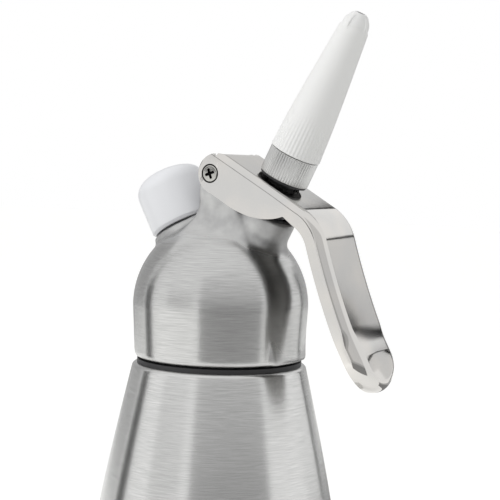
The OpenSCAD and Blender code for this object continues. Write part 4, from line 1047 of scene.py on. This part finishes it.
# %% Screws
SCREW_R, SCREW_HEAD_H, SHANK_R, SHANK_L, AXLE_END, SCREW_STEPS = 3.25, 1.0, 1.75, 9.0, 14.8, 160
SLOT_HALF_W, SLOT_HALF_L, SLOT_TURN, RECESS, RIM_ROUND = 0.55, 2.0, math.radians(20), 0.95, 0.85
top_rows = np.linspace(0, SCREW_R - RIM_ROUND, 34)
dome_rows = np.stack([top_rows, SCREW_HEAD_H - 0.02 * top_rows ** 2], -1)
screw_profile = np.concatenate([dome_rows, rounded([
    (SCREW_R - RIM_ROUND, dome_rows[-1, 1]), (SCREW_R, dome_rows[-1, 1], RIM_ROUND), (SCREW_R, 0),
    (SHANK_R, 0), (SHANK_R, -SHANK_L, 0.4), (0, -SHANK_L)])[1:]])
points, quads = turned(screw_profile, SCREW_STEPS)
x, y, z = np.moveaxis(points, -1, 0)
slot_half = SLOT_HALF_W * (1 - 0.25 * np.clip(np.hypot(x, y) / SLOT_HALF_L, 0, 1))
c, d = math.cos(SLOT_TURN), math.sin(SLOT_TURN)
a, b = np.abs(x * c + y * d), np.abs(y * c - x * d)
away = np.minimum(np.maximum(a - SLOT_HALF_L, b - slot_half), np.maximum(b - SLOT_HALF_L, a - slot_half))
sunk = RECESS * (1 - ease(away, -0.12, 0.12)) * (z > 0.3) * (np.hypot(x, y) < SCREW_R - RIM_ROUND)
near = np.stack([x, -(z - sunk + AXLE_END), y], -1).reshape(-1, 3)
screw_points = np.concatenate([near, near * [1, -1, 1]]) + [PIVOT_X, 0, PIVOT_Z]
screw_quads = np.concatenate([quads, quads[:, ::-1] + len(near)])
# Faces deep in the cross get the mark, which paints them with shade.
in_cross = (sunk.reshape(-1)[quads].mean(1) > 0.2 * RECESS).astype(float)
screw_mesh = mesh_of("cross_head_screws", screw_points, screw_quads, np.tile(in_cross, 2))
add_piece(screw_mesh, screw_steel, "head", "screw_steel", "pivot_screws", crease=35)

# %% [markdown]
# The valve's return spring is 1.2 mm steel wire, wound in six turns: a circle carried along a
# helix. It stands between the floor of its pocket and the valve's collar.

# %% Return spring
WIRE_R, SPRING_TURNS, SPRING_R, SPRING_LOW, SPRING_HIGH = 0.6, 6, 6.6, -25.35, -9.6
a = np.linspace(0, 2 * math.pi * SPRING_TURNS, SPRING_TURNS * 36 + 1)[:, None]
b = np.linspace(0, 2 * math.pi, 14, endpoint=False)[None, :]
w = SPRING_R + WIRE_R * np.cos(b)
rise = SPRING_LOW + (SPRING_HIGH - SPRING_LOW) * a / a[-1]
wire = np.stack([w * np.cos(a), w * np.sin(a), rise + WIRE_R * np.sin(b)], -1)
ends = wire[[0, -1]].mean(1, keepdims=True).repeat(wire.shape[1], 1)
wire = np.concatenate([ends[:1], wire, ends[1:]])
wire_quads = grid_quads(*wire.shape[:2], wrap_columns=True)
spring_mesh = mesh_of("return_spring", placed(wire, VALVE), wire_quads)
spring = add_piece(spring_mesh, spring_steel, "head", "steel", "valve_spring", crease=60)
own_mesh(spring)

# %% [markdown]
# The rest of the fittings are plain turned or moulded rings, and their CAD solids are already
# the right shape. They keep their meshes and get their finishes.

# %% Finishes of the CAD pieces that show as they are
# The neck ring is black, and it fills the groove under the head, so the groove renders black.
# The pivot axle's near-black is painted shade: it stands for the shadow in the hole round each screw.
FITTINGS = {
    "neck_ring": black_rubber, "head_gasket": black_rubber, "pivot_axle": axle_steel_black_as_shade,
    "pivot_washers": nylon, "stem_guide": brass, "guide_o_ring": black_rubber, "valve_stem": turned_steel,
    "press_collar": black_plastic, "collar_seal": black_rubber, "poppet_seal": black_rubber,
    "poppet_nut": turned_steel, "tip_gasket": nylon, "nipple_washer": black_rubber,
    "pierce_pin": turned_steel, "check_valve_seal": black_rubber, "cap_liner": nylon,
}
for name, finish in FITTINGS.items():
    nodes[name].data.materials.clear()
    nodes[name].data.materials.append(finish)
print("fittings finished:", len(FITTINGS))
